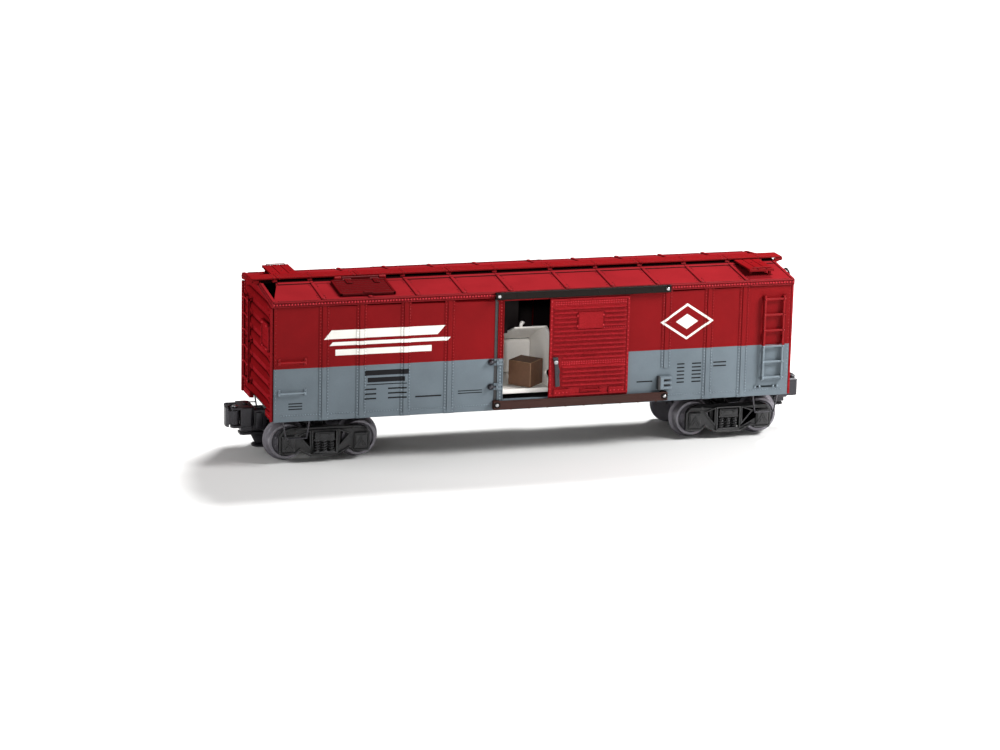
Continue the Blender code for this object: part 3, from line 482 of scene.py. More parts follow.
def moulded(
    name, colour, rough=0.42, metallic=0.0, grain=0.05, edge_highlight=None, specular=0.5, mottle=0.08,
    reach=2.2, dark=0.25
):
    """Painted or moulded surface: slow colour drift, fine grain, uneven gloss, painted shade in
    corners and creases, and painted highlights on pointy edges.
    """
    n = Nodes(name)
    place = n.place()
    slow = n.noise(place, 0.06, 3.0)
    fine = n.noise(place, 1.6, 4.0, 0.6)
    base = colour(n, place) if callable(colour) else colour
    # Painted shade: ambient occlusion darkens the colour in corners and creases.
    if reach:
        base = n.shade(base, n.painted_crevice_shade(reach, dark))
    base = n.shade(base, n.remap(slow, 0.3, 0.7, 1.0 - mottle, 1.0 + mottle))
    base = n.shade(base, n.remap(fine, 0.3, 0.7, 0.97, 1.03))
    # Painted highlight: pointy edges take a lighter colour, standing in for light catching them.
    if edge_highlight:
        pointy = n.node("ShaderNodeNewGeometry").outputs["Pointiness"]
        edge = n.math(
            "MULTIPLY", n.remap(pointy, 0.53, 0.62, 0.0, 0.55), n.remap(fine, 0.35, 0.65, 0.2, 1.0)
        )
        base = n.mix(edge, base, edge_highlight)
    n.put(n.shader.inputs["Base Color"], base)
    n.put(n.shader.inputs["Roughness"], n.remap(slow, 0.3, 0.7, rough - 0.05, rough + 0.06))
    n.shader.inputs["Metallic"].default_value = metallic
    if metallic or specular > 0.2:
        n.shader.inputs["Specular IOR Level"].default_value = specular
    else:
        facing = n.node("ShaderNodeLayerWeight").outputs["Facing"]
        n.put(n.shader.inputs["Specular IOR Level"], n.remap(facing, 0.3, 0.62, specular, 0.0))
    n.bump(n.noise(place, 2.6, 3.0, 0.55), 0.25, grain)
    return n.material


RED = rgb(118, 16, 20)
# Lighter red, a painted highlight for edges and rivet heads.
RED_HIGHLIGHT = rgb(182, 40, 50)
GREY = rgb(102, 112, 119)
WHITE = rgb(232, 230, 224)
INK = rgb(30, 30, 32)
DARK = rgb(20, 14, 15)


def livery(n, place):
    """Red over grey, with plain white marks on the red and small black ones on the grey."""
    x, y, z = n.split(place)
    side = n.math("SIGN", y)
    along = n.math("MULTIPLY", n.math("MULTIPLY", x, side), -1.0)
    outside = n.math("GREATER_THAN", n.math("ABSOLUTE", y), SIDE_Y - 0.4)
    colour = n.mix(n.math("GREATER_THAN", z, BAND_Z), GREY, RED)

    def bar(x0, x1, z0, z1, slant=0.0):
        lean = n.math("SUBTRACT", along, n.math("MULTIPLY", n.math("SUBTRACT", z, z0), slant))
        return n.math("MULTIPLY", n.within(lean, x0, x1), n.within(z, z0, z1))

    white = bar(-110.0, -52.0, 65.0, 69.4, 0.9)
    for x0, x1, z0, z1, slant in (
        (-107.0, -47.0, 61.6, 63.4, 0.9), (-104.0, -55.0, 56.6, 59.6, 0.0)
    ):
        white = n.math("MAXIMUM", white, bar(x0, x1, z0, z1, slant))
    flat = n.math("DIVIDE", n.math("ABSOLUTE", n.math("SUBTRACT", along, 79.0)), 14.2)
    tall = n.math("DIVIDE", n.math("ABSOLUTE", n.math("SUBTRACT", z, 65.2)), 9.4)
    lozenge = n.math("ADD", flat, tall)
    white = n.math("MAXIMUM", white, n.within(lozenge, 0.86, 1.0))
    white = n.math("MAXIMUM", white, n.math("LESS_THAN", lozenge, 0.42))
    colour = n.mix(n.math("MULTIPLY", white, outside), colour, WHITE)
    black = bar(-88.0, -67.5, 40.7, 41.2)
    marks = [(-89.0, -66.5, 45.6, 48.2), (-87.5, -68.5, 42.1, 44.5), (-63.0, -49.5, 33.2, 34.0)]
    marks += [(-89.0, -83.0, z0, z0 + 0.8) for z0 in (38.2, 35.8, 33.4)]
    marks += [(-77.0, -67.5, z0, z0 + 0.8) for z0 in (38.2, 35.8, 33.4)]
    marks += [(74.5, 78.5, z0, z0 + 0.7) for z0 in (42.8, 40.9, 39.0, 37.1, 35.2, 33.3)]
    marks += [(82.5, 87.5, z0, z0 + 0.7) for z0 in (42.8, 40.9, 39.0, 37.1, 35.2, 33.3)]
    marks += [(94.0, 101.0, z0, z0 + 0.7) for z0 in (42.8, 40.9)]
    marks += [(-127.5, -120.5, z0, z0 + 0.6) for z0 in (33.0, 31.6, 30.2)]
    marks += [(-41.0, -28.5, z0, z0 + 0.5) for z0 in (35.0, 33.8)]
    marks += [(53.0, 61.5, 34.6, 35.3)]
    for mark in marks:
        black = n.math("MAXIMUM", black, bar(*mark))
    colour = n.mix(n.math("MULTIPLY", black, outside), colour, INK)
    return n.mix(inside(n, x, y, z), colour, DARK)


def inside(n, x, y, z):
    """1 on the faces that look into the body, and under the roof, which the materials colour
    near-black.
    """
    across = n.math("ABSOLUTE", y)
    under = n.math("LESS_THAN", n.math("ADD", z, n.math("MULTIPLY", across, 0.1183)), 87.4)
    within = n.math(
        "MULTIPLY", n.math("LESS_THAN", across, 31.25),
        n.math("LESS_THAN", n.math("ABSOLUTE", x), 133.6)
    )
    return n.math("MULTIPLY", under, within)


def all_red(n, place):
    x, y, z = n.split(place)
    return n.mix(inside(n, x, y, z), RED, DARK)


def rivet_livery(n, place):
    """Rivets take the paint and the marks under them, made lighter as a painted highlight."""
    return n.shade(livery(n, place), 1.5)


def bar_livery(n, place):
    # Bars take the paint a little lighter, as a painted highlight.
    return n.shade(livery(n, place), 1.15)


def roof_red(n, place):
    """Red, with a painted shadow on the narrow strip under the walk and a painted shade line just
    outside the strips along the ridge.
    """
    x, y, z = n.split(place)
    across = n.math("ABSOLUTE", y)
    # Painted shadow under the walk, and painted shade beside the ridge strips.
    painted_roof_shade = n.math("MULTIPLY", n.math("LESS_THAN", across, 6.8), 0.9)
    painted_roof_shade = n.math("MAXIMUM", painted_roof_shade, n.math("MULTIPLY", n.within(across, 9.2, 10.1), 0.6))
    painted_roof_shade = n.math("MULTIPLY", painted_roof_shade, n.math("LESS_THAN", n.math("ABSOLUTE", x), 135.0))
    return n.mix(painted_roof_shade, n.mix(inside(n, x, y, z), rgb(124, 26, 31), DARK), DARK)


def door_red(n, place):
    """Red outside, near-black on the inner face."""
    y = n.split(place)[1]
    return n.mix(n.math("LESS_THAN", n.math("ABSOLUTE", y), 33.7), RED, DARK)


def cube_skin(n, place):
    fibres = n.noise(place, 0.5, 6.0, 0.7)
    return n.mix(n.remap(fibres, 0.3, 0.7, 0.0, 1.0), rgb(92, 62, 42), rgb(104, 71, 49))


MATERIALS = {
    "livery": moulded("red_and_grey_paint", livery, 0.42, specular=0.05, reach=1.5, dark=0.35),
    "livery_bar": moulded("red_and_grey_bars", bar_livery, 0.38, specular=0.1, reach=0),
    "livery_rivet": moulded("red_and_grey_rivets", rivet_livery, 0.34, specular=0.2, reach=0),
    "red": moulded("red_paint", all_red, 0.42, edge_highlight=RED_HIGHLIGHT, specular=0.05),
    "red_rivet": moulded("red_rivets", RED_HIGHLIGHT, 0.34, specular=0.2, reach=0),
    "roof": moulded("roof_paint", roof_red, 0.42, specular=0.05),
    "plank": moulded("plank_paint", RED, 0.46, specular=0.05),
    "door": moulded("door_paint", door_red, 0.42, edge_highlight=RED_HIGHLIGHT, specular=0.05),
    "hatch": moulded("hatch_red", rgb(84, 12, 15), 0.44, specular=0.05),
    "plastic": moulded("black_plastic", rgb(37, 37, 38), 0.44, edge_highlight=rgb(84, 84, 86), specular=0.4),
    "guide": moulded("guide_black", rgb(20, 14, 11), 0.4, specular=0.12),
    # The lower guide is the same black plastic, lightened to brown as a painted reflection.
    "guide_low": moulded("guide_black_painted_reflection", rgb(60, 39, 35), 0.4, specular=0.1),
    "metal": moulded("black_metal", rgb(34, 33, 38), 0.34, 0.4, edge_highlight=rgb(92, 90, 96)),
    "wheel": moulded(
        "wheel_metal", rgb(116, 113, 120), 0.36, 0.3, edge_highlight=rgb(150, 148, 152), reach=1.5, dark=0.4
    ),
    "steel": moulded("bright_steel", rgb(178, 178, 180), 0.28, 1.0, dark=0.5),
    "white": moulded("white_plastic", rgb(240, 236, 230), 0.44, mottle=0.03, reach=0),
    "copper": moulded("copper_winding", rgb(178, 96, 52), 0.34, 0.9),
    "dark": moulded("dark_plastic", rgb(34, 28, 28), 0.6, specular=0.1),
    "cube": moulded("cube_brown", cube_skin, 0.62, mottle=0.05, dark=0.8),
    "edge": moulded("cube_edge", rgb(150, 116, 86), 0.6, reach=0),
    "floor": moulded("floor_black", rgb(38, 30, 30), 0.5),
}
SLOTS = {
    "livery": "car_red",
    "livery_bar": "car_red",
    "livery_rivet": "car_red",
    "plank": "car_red",
    "red": "car_red",
    "roof": "car_red",
    "door": "car_red",
    "hatch": "car_red",
    "plastic": "black_plastic",
    "guide": "black_plastic",
    "guide_low": "black_plastic",
    "metal": "black_metal",
    "floor": "black_metal",
    "wheel": "wheel_metal",
    "steel": "bright_steel",
    "white": "white_plastic",
    "copper": "coil_winding",
    "dark": "dark_plastic",
    "cube": "brown_plastic",
    "edge": "brown_plastic",
}


# Rivet heads take the lighter finishes above, a painted highlight.
RIVET_FINISH = {
    "livery": "livery_rivet", "livery_bar": "livery_rivet", "red": "red_rivet", "door": "red_rivet"
}


def make(name, shape, body, finish, replaces=(), matrix=None, sharp=52):
    if shape.heads:
        heads = RIVET_FINISH.get(finish, finish)
        piece(name + "_rivets", shape.heads, body, MATERIALS[heads], (), matrix, 80)
    if shape.points:
        return piece(name, shape, body, MATERIALS[finish], replaces, matrix, sharp)


# ---------------------------------------------------------------- body shell


def roof_z(y):
    return RIDGE_Z - (RIDGE_Z - EAVE_Z) * abs(y) / ROOF_Y


def side_wall():
    """The wall, its battens with a rivet line on each flange, and the rivet row along the sill."""
    s = Shape()
    half, low, high = DOORWAY
    outer = [
        (-HALF_LENGTH, SILL_Z), (HALF_LENGTH, SILL_Z), (HALF_LENGTH, WALL_TOP_Z),
        (-HALF_LENGTH, WALL_TOP_Z)
    ]
    hole = [(-half, low), (-half, high), (half, high), (half, low)]
    s.add(bm_plate([outer, hole], -SIDE_Y, -SIDE_Y + WALL, "XZ"), 0.15)
    out = (0, -1, 0)
    for x in SEAM_XS:
        foot = 41.6 if x == 68.2 else SILL_Z + 0.1
        s.box((x - 2.7, -SIDE_Y - 0.16, foot), (x + 2.7, -SIDE_Y + 0.6, WALL_TOP_Z), 0.08)
        s.box((x - 1.1, -SIDE_Y - 0.5, foot), (x + 1.1, -SIDE_Y + 0.6, WALL_TOP_Z), 0.2)
        if x != 68.2:
            s.prism(
                [(x - 2.7, SILL_Z), (x + 2.7, SILL_Z), (x + 1.1, SILL_Z + 5)], -SIDE_Y - 0.36,
                -SIDE_Y, "XZ", 0.1
            )
        for dx in (-1.95, 1.95):
            s.row(
                (x + dx, -SIDE_Y - 0.16, foot + 1.2), (x + dx, -SIDE_Y - 0.16, WALL_TOP_Z - 0.8),
                1.5, out, 0.3, 0.24
            )
    stops = [-HALF_LENGTH + 1.4, *SEAM_XS[:4], -half - 4.2]
    stops_right = [half + 3.4, 68.2, 90.8, 109.7, HALF_LENGTH - 1.4]
    for run in (stops, stops_right):
        for first, second in zip(run, run[1:]):
            s.row(
                (first + 2.4, -SIDE_Y, 27.4), (second - 2.4, -SIDE_Y, 27.4), 1.35, out, 0.26, 0.2
            )
    s.row(
        (-HALF_LENGTH + 0.9, -SIDE_Y, 29.0), (-HALF_LENGTH + 0.9, -SIDE_Y, 81.0), 1.9, out, 0.22,
        0.16
    )
    s.row(
        (HALF_LENGTH - 0.9, -SIDE_Y, 29.0), (HALF_LENGTH - 0.9, -SIDE_Y, 81.0), 1.9, out, 0.22,
        0.16
    )
    post = (-half - 3.0, -half)
    s.box((post[0], -SIDE_Y - 0.4, low), (post[1], -SIDE_Y + 0.5, high + 1.2), 0.14)
    s.row(
        (post[0] + 1.5, -SIDE_Y - 0.4, low + 1.6), (post[0] + 1.5, -SIDE_Y - 0.4, high), 1.6, out,
        0.4, 0.34
    )
    s.box((post[0], -SIDE_Y - 0.75, low), (post[0] + 0.5, -SIDE_Y + 0.5, high + 1.2), 0.12)
    s.box((post[1] - 0.5, -SIDE_Y - 0.75, low), (post[1], -SIDE_Y + 0.5, high + 1.2), 0.12)
    s.box((-half - 0.1, -SIDE_Y - 0.45, low - 0.3), (half + 0.1, -SIDE_Y + 1.2, low + 1.0), 0.2)
    s.box((half, -SIDE_Y - 0.3, low), (half + 3.2, -SIDE_Y + 0.5, high + 1.2), 0.12)
    s.box((-half - 3.6, -SIDE_Y - 0.35, high), (half + 3.2, -SIDE_Y + 0.5, high + 1.2), 0.12)
    # This bar is drawn twice in one place, and its doubled faces render as a dark dash.
    for z in (29.0, 29.0):
        s.box((116.6, -SIDE_Y - 0.3, z - 0.25), (129.8, -SIDE_Y + 0.3, z + 0.45), 0.1)
    for x in (117.2, 119.6, 127.0, 129.2):
        s.dome((x, -SIDE_Y - 0.3, 29.2), out, 0.5, 0.4, 10)
    return s


def door_stop():
    """Three prongs on an upright, where the opened door comes to rest."""
    s = Shape()
    for z in (31.5, 34.15, 36.8):
        s.box((65.0, -SIDE_Y - 2.4, z - 0.65), (71.2, -SIDE_Y + 0.3, z + 0.65), 0.2)
    s.box((65.0, -SIDE_Y - 2.5, 30.8), (66.9, -SIDE_Y + 0.3, 37.5), 0.22)
    return s


def painted_shadow_strips():
    """Black pieces standing in for shade: a painted shadow strip beside the door post, and painted
    shade at the door stop's left side and behind its prongs.
    """
    s = Shape()
    s.box((-22.5, -SIDE_Y - 0.25, 29.6), (-20.9, -SIDE_Y + 0.3, 81.4), 0.1)
    s.box((63.9, -SIDE_Y - 2.5, 30.6), (65.1, -SIDE_Y + 0.3, 37.6), 0.25)
    s.box((65.0, -SIDE_Y - 0.5, 30.7), (71.0, -SIDE_Y + 0.3, 37.4), 0.15)
    return s


def keepers():
    """Brackets on the door post that the latch strap drops into."""
    s = Shape()
    for z in (36.7, 49.3):
        s.box((-22.6, -SIDE_Y - 0.8, z - 1.7), (-18.7, -SIDE_Y + 0.3, z + 1.7), 0.2)
        s.box((-21.4, -SIDE_Y - 1.9, z + 0.5), (-18.7, -SIDE_Y + 0.3, z + 1.5), 0.2)
        s.box((-21.4, -SIDE_Y - 1.9, z - 1.5), (-18.7, -SIDE_Y + 0.3, z - 0.5), 0.2)
        s.box((-21.6, -SIDE_Y - 1.9, z - 1.5), (-20.6, -SIDE_Y + 0.3, z + 1.5), 0.2)
    return s


def keeper_studs():
    s = Shape()
    for z in (36.7, 49.3):
        centre = (-24.3, -SIDE_Y + 0.2, z)
        s.add(bm_lathe(
            [(0, 1.5), (1.2, 1.5), (1.5, 1.25), (1.7, 1.25), (2.3, 0.9), (2.5, 0.3), (2.5, 0)],
            centre, (0, -1, 0), 20
        ))
        s.rod((-24.0, -SIDE_Y - 1.0, z), (-21.0, -SIDE_Y - 1.0, z), 0.45, 0.0, 12)
    return s


def grab_iron(z):
    s = Shape()
    x0, x1 = -132.2, -119.1
    s.add(bm_tube(
        rounded(
            [(x0, -SIDE_Y, z), (x0, -SIDE_Y - 1.9, z), (x1, -SIDE_Y - 1.9, z), (x1, -SIDE_Y, z)],
            0.7
        ),
        0.42
    ))
    for x in (x0, x1):
        s.box((x - 0.6, -SIDE_Y - 0.3, z - 1.7), (x + 0.6, -SIDE_Y + 0.2, z + 1.7), 0.12)
        for dz in (-1.2, 1.2):
            s.dome((x, -SIDE_Y - 0.3, z + dz), (0, -1, 0), 0.36, 0.3)
    return s


def side_ladder():
    """Two angle stiles and six rungs, held off the wall by brackets."""
    s = Shape()
    x0, x1, face = 119.6, 131.6, -SIDE_Y - 2.3
    low, high = 32.8, 77.0
    for a, b, flange in ((x0, x0 + 1.4, x0), (x1 - 1.4, x1, x1 - 0.45)):
        s.box((a, face, low), (b, face + 0.5, high), 0.12)
        s.box((flange, face, low), (flange + 0.45, face + 1.6, high), 0.1)
        for z in (low + 0.4, 54.0, high - 1.8):
            s.box((a, face + 0.3, z), (b, -SIDE_Y + 0.2, z + 1.3), 0.12)
    for i in range(6):
        z = 34.2 + 8.2 * i
        s.add(bm_tube([(x0 + 0.4, face + 0.6, z), (x1 - 0.4, face + 0.6, z)], 0.52))
        s.box((x0 + 0.3, face + 0.2, z - 0.55), (x1 - 0.3, face + 0.75, z + 0.3), 0.12)
        for x in (x0 + 0.7, x1 - 0.7):
            s.dome((x, face, z), (0, -1, 0), 0.42, 0.32)
    return s


def roof_skin():
    """Two roof slopes, with the hatch's opening and one open corner in each slope, a dark hole
    standing in for a shadow on the roof.
    """
    s = Shape()
    slope = (RIDGE_Z - EAVE_Z) / ROOF_Y
    edge = ROOF_Y - 0.35
    for side in (-1, 1):
        outer = [(-ROOF_X, 0), (ROOF_X, 0), (ROOF_X, side * edge), (-ROOF_X, side * edge)]
        holes = [[
            (-99.5, -28.6), (-99.5, -10.2), (-74.5, -10.2), (-74.5, -28.6)
        ]] if side < 0 else []
        # Corner opening: a dark hole standing in for a shadow near the roof's end.
        holes.append([
            (side * x, side * y) for x,
            y in ((135.2, 1.2), (127.6, 1.2), (128.3, 9.0), (134.2, 29.4), (135.2, 30.6))
        ])
        bm = bm_plate([outer] + holes, -2.0, 0.0, "XY")
        for vert in bm.verts:
            vert.co.z += RIDGE_Z - slope * abs(vert.co.y)
        s.add(bm, 0.12)
        s.box(
            (-ROOF_X, side * (ROOF_Y - 0.35), 82.1), (ROOF_X, side * (ROOF_Y - 1.2), EAVE_Z), 0.1
        )
        s.box((-ROOF_X, side * ROOF_Y, 84.3), (ROOF_X, side * (ROOF_Y - 1.0), EAVE_Z + 0.05), 0.2)
        s.box((-ROOF_X, side * ROOF_Y, 82.1), (ROOF_X, side * (ROOF_Y - 1.0), 82.5), 0.12)
    for end in (-1, 1):
        band = [
            (-ROOF_Y, 82.0), (-ROOF_Y, EAVE_Z), (0, RIDGE_Z), (ROOF_Y, EAVE_Z), (ROOF_Y, 82.0),
            (0, 86.0)
        ]
        x0, x1 = sorted((end * (ROOF_X - 1.0), end * (ROOF_X + 0.15)))
        s.prism(band, x0, x1, "YZ", 0.12)
        for side in (-1, 1):
            start = (end * (ROOF_X + 0.15), side * (ROOF_Y - 0.8), roof_z(ROOF_Y - 0.8) - 1.5)
            finish = (end * (ROOF_X + 0.15), side * 1.0, roof_z(1.0) - 1.5)
            s.row(start, finish, 1.3, (end, 0, 0), 0.3, 0.24, 6)
    return s


def cornice_rivets():
    s = Shape()
    for side in (-1, 1):
        y = side * (ROOF_Y - 0.35)
        s.row((-ROOF_X + 0.8, y, 83.4), (ROOF_X - 0.8, y, 83.4), 1.5, (0, side, 0), 0.42, 0.32, 6)
    return s


def slope_bar(s, x0, x1, y0, y1, height, bevel=0.1):
    """A bar that lies on the roof's slope between two distances from the ridge."""
    outline = [
        (y0, roof_z(y0) + height), (y1, roof_z(y1) + height), (y1, roof_z(y1) - 0.3),
        (y0, roof_z(y0) - 0.3)
    ]
    s.prism(outline, x0, x1, "YZ", bevel)


def roof_trim():
    """Seam ribs with their end caps and bolts, and the raised strips along ridge and eave."""
    s = Shape()
    spans = sorted([s_ * x for s_ in (-1, 1) for x in ROOF_RIB_XS])
    for side in (-1, 1):
        for x in spans:
            hidden = side < 0 and -101.5 < x < -72.5
            starts = [(7.0, 8.6), (31.0, 33.2)] if hidden else [(7.0, 33.2)]
            for near, far in starts:
                slope_bar(s, x - 0.8, x + 0.8, side * near, side * far, 0.55, 0.22)
            s.add(
                bm_rod(
                    (x, side * 31.9, roof_z(31.9) - 0.2), (x, side * 31.9, roof_z(31.9) + 0.7),
                    1.15, 16
                ),
                0.3
            )
            if hidden:
                continue
            normal = (0, side * 0.118, 1)
            for y in (11.4, 14.0, 27.0, 29.6):
                for dx in (-1.9, 1.9):
                    s.dome((x + dx, side * y, roof_z(y)), normal, 0.3, 0.22)
        edges = [-ROOF_X + 1.6, *spans, ROOF_X - 1.6]
        for first, second in zip(edges, edges[1:]):
            middle = (first + second) / 2
            over_hatch = side < 0 and -101 < middle < -73
            low = max(first + 0.8, -127.4) if side < 0 else first + 0.8
            high = min(second - 0.8, 127.4) if side > 0 else second - 0.8
            if not over_hatch:
                slope_bar(s, low, high, side * 6.7, side * 9.4, 0.35)
            slope_bar(s, first + 1.4, second - 1.4, side * 32.5, side * 33.4, 0.28)
    for end in (-1, 1):
        for side in (-1, 1):
            x0, x1 = sorted((end * (ROOF_X - 0.1), end * (ROOF_X - 1.6)))
            slope_bar(s, x0, x1, side * 6.5, side * 33.4, 0.35, 0.15)
    return s


def hatch_lugs():
    s = Shape()
    y, z = -7.8, 89.4
    for low, high in ((-98.6, -95.2), (-76.0, -72.4)):
        outline = [
            (y - 1.3, roof_z(y) - 0.5), (y + 1.3, roof_z(y) - 0.5)
        ] + arc((y, z), 1.15, -20, 200, 12)
        s.prism(outline, low, high, "YZ", 0.2)
    return s


def opening_rim():
    """Raised rim round the roof's hatch opening, under the lid."""
    s = Shape()
    for x in (-99.5, -74.9):
        s.prism(
            [
                (-28.6, roof_z(28.6) + 0.05), (-10.2, roof_z(10.2) + 0.05), (-10.2, 86.0),
                (-28.6, 84.0)
            ],
            x, x + 0.4, "YZ", 0.05
        )
    return s


def walk():
    """Three planks laid end to end on saddles, with cleats and braces where they pass the ends."""
    s = Shape()
    top, thick, half = 90.5, 0.8, 4.8
    width = (2 * half + 0.2) / 3
    joints_x = [-140.0, -127.0] + sorted(
        q * x for q in (-1, 1) for x in ROOF_RIB_XS
    ) + [127.0, 140.0]
    for first, second in zip(joints_x, joints_x[1:]):
        for i in range(3):
            y0 = -half + i * width
            s.box((first + 0.1, y0, top - thick), (second - 0.1, y0 + width - 0.2, top), 0.14)
    for i, x in enumerate(joints_x[1:-1]):
        double = i % 2 == 0
        for dx in (-1.3, 1.3) if double else (0,):
            s.box(
                (x + dx - 0.35, -half - 0.15, top - thick - 0.2),
                (x + dx + 0.35, half + 0.15, top - 0.1), 0.1
            )
        for dx in (-1.3, 1.3) if double else (0.9,):
            for y in (-4.2, 0.0, 4.2):
                s.dome((x + dx * 1.3, y, top - 0.02), (0, 0, 1), 0.4, 0.2)
    for side in (-1, 1):
        x0, x1 = side * 139.0, side * 140.4
        s.box((x0, -half, 88.2), (x1, half, 90.3), 0.18)
        for y in (-4.2, 4.2):
            outline = [
                (side * 136.1, 89.4), (side * 139.6, 89.4), (side * 139.6, 88.4),
                (side * 136.1, 86.8)
            ]
            s.prism(outline, y - 0.6, y + 0.6, "XZ", 0.12)
            s.dome((side * 140.4, y, 89.2), (side, 0, 0), 0.45, 0.3)
    return s


def walk_saddles():
    s = Shape()
    for x in sorted([q * x for q in (-1, 1) for x in ROOF_RIB_XS + (128.0,)]):
        s.prism(
            [(-4.2, 89.7), (4.2, 89.7), (4.8, roof_z(4.8) - 0.2), (-4.8, roof_z(4.8) - 0.2)],
            x - 1.2, x + 1.2, "YZ", 0.12
        )
    s.box((-127.5, -0.5, 88.6), (127.5, 0.5, 89.65), 0.1)
    return s


def lateral():
    """Three planks across two bearers, on legs that stand on the roof."""
    s = Shape()
    x0, x1, top = 113.5, 127.0, 89.8
    width = (x1 - x0 - 0.5) / 3
    for i in range(3):
        start = x0 + i * (width + 0.25)
        s.box((start, -28.4, top - 0.85), (start + width, -5.8, top), 0.16)
        for y in (-25.5, -13.5):
            s.dome((start + width / 2, y, top), (0, 0, 1), 0.42, 0.22)
    for y in (-25.5, -13.5):
        s.box((x0 + 0.3, y - 0.7, top - 1.6), (x1 - 0.3, y + 0.7, top - 0.6), 0.15)
        for x in (x0 + 1.6, x1 - 1.6):
            s.box((x - 0.7, y - 0.6, roof_z(y - 0.6) + 0.1), (x + 0.7, y + 0.6, top - 1.3), 0.12)
            s.box((x - 1.3, y - 1.1, roof_z(y) - 0.1), (x + 1.3, y + 1.1, roof_z(y) + 0.4), 0.12)
    s.box((x0 + 0.1, -28.4, top - 1.5), (x1 - 0.1, -27.9, top - 0.6), 0.1)
    s.add(bm_tube(
        rounded(
            [
                (x0 + 2, -27.5, top - 0.2), (x0 + 2, -27.5, top + 0.5), (x1 - 2, -27.5, top + 0.5),
                (x1 - 2, -27.5, top - 0.2)
            ],
            0.5
        ),
        0.22
    ))
    return s


def end_rib(y_half, z, height, proud):
    """A pressed rib that swells from a point at each end."""
    wall = HALF_LENGTH
    sections = []
    steps = 26
    for i in range(steps + 1):
        t = i / steps
        y = -y_half + 2 * y_half * t
        edge = min(1.0, (y_half - abs(y)) / 9.0)
        swell = max(0.02, edge ** 0.75)
        ring = [(wall - 0.3, y, z - height * swell), (wall - 0.3, y, z + height * swell)]
        for angle in range(0, 181, 20):
            a = radians(angle)
            ring.append((
                wall + proud * swell * sin(a) ** 0.7, y, z + height * swell * cos(a) * 0.98
            ))
        sections.append(ring)
    return bm_loft(sections)


def end_dart(y0, y1, z):
    """A small wedge between two ribs, deep at the corner and running out towards the middle."""
    wall = HALF_LENGTH
    sections = []
    for i in range(9):
        t = i / 8
        y = y0 + (y1 - y0) * t
        swell = max(0.03, (1 - t) ** 0.8)
        ring = [(wall - 0.3, y, z - 1.3 * swell), (wall - 0.3, y, z + 1.3 * swell)]
        for angle in range(0, 181, 30):
            a = radians(angle)
            ring.append((wall + 0.8 * swell * sin(a), y, z + 1.3 * swell * cos(a)))
        sections.append(ring)
    return bm_loft(sections)


def end_wall():
    s = Shape()
    wall = HALF_LENGTH
    edge = 30.8
    outline = [(edge, SILL_Z), (edge, WALL_TOP_Z), (0, 85.6), (-edge, WALL_TOP_Z), (-edge, SILL_Z)]
    outline += [(-17, SILL_Z), (-17, 28.9), (17, 28.9), (17, SILL_Z)]
    s.prism(outline, wall - WALL, wall, "YZ", 0.12)
    for i in range(8):
        s.add(end_rib(28.4, 30.7 + 7.0 * i, 2.1, 1.15))
    for i in range(7):
        z = 34.2 + 7.0 * i
        for side in (-1, 1):
            s.add(end_dart(side * 29.6, side * 20.5, z))
    for side in (-1, 1):
        s.box(
            (wall - 0.8, side * 30.7, SILL_Z + 0.2), (wall + 0.35, side * 29.3, WALL_TOP_Z - 0.4),
            0.12
        )
        s.row(
            (wall + 0.35, side * 30.0, 26.2), (wall + 0.35, side * 30.0, 80.6), 1.7, (1, 0, 0),
            0.28, 0.22
        )
        s.box((wall - 0.2, side * 30.6, SILL_Z), (wall + 0.6, side * 17.2, 27.6), 0.15)
        s.box(
            (wall - 0.1, side * 30.8, SILL_Z + 0.2), (wall + 0.5, side * 29.8, WALL_TOP_Z - 0.4),
            0.1
        )
        s.box(
            (wall + 0.3, side * 32.2, SILL_Z + 0.2), (wall + 1.6, side * 30.7, WALL_TOP_Z - 0.4),
            0.25
        )
        s.row(
            (wall + 0.6, side * 29.4, 25.8), (wall + 0.6, side * 18.4, 25.8), 1.6, (1, 0, 0), 0.28,
            0.2
        )
    s.box((wall - 0.2, -17.4, 28.7), (wall + 0.6, 17.4, 29.6), 0.12)
    return s


def end_ladder():
    s = Shape()
    y0, y1, face = -24.2, -13.0, 137.6
    low, high = 32.8, 77.0
    for a, b, flange in ((y0, y0 + 1.3, y0), (y1 - 1.3, y1, y1 - 0.4)):
        s.box((face - 0.5, a, low), (face, b, high), 0.12)
        s.box((face - 1.2, flange, low), (face, flange + 0.4, high), 0.1)
        for z in (low + 0.4, 54.0, high - 1.8):
            s.box((HALF_LENGTH, a, z), (face - 0.3, b, z + 1.2), 0.12)
    for i in range(6):
        z = 34.2 + 8.2 * i
        s.box((face - 0.8, y0 + 0.3, z - 0.5), (face - 0.2, y1 - 0.3, z + 0.3), 0.12)
        s.add(bm_tube([(face - 0.5, y0 + 0.3, z), (face - 0.5, y1 - 0.3, z)], 0.48))
        for y in (y0 + 0.65, y1 - 0.65):
            s.dome((face, y, z), (1, 0, 0), 0.38, 0.25)
    return s


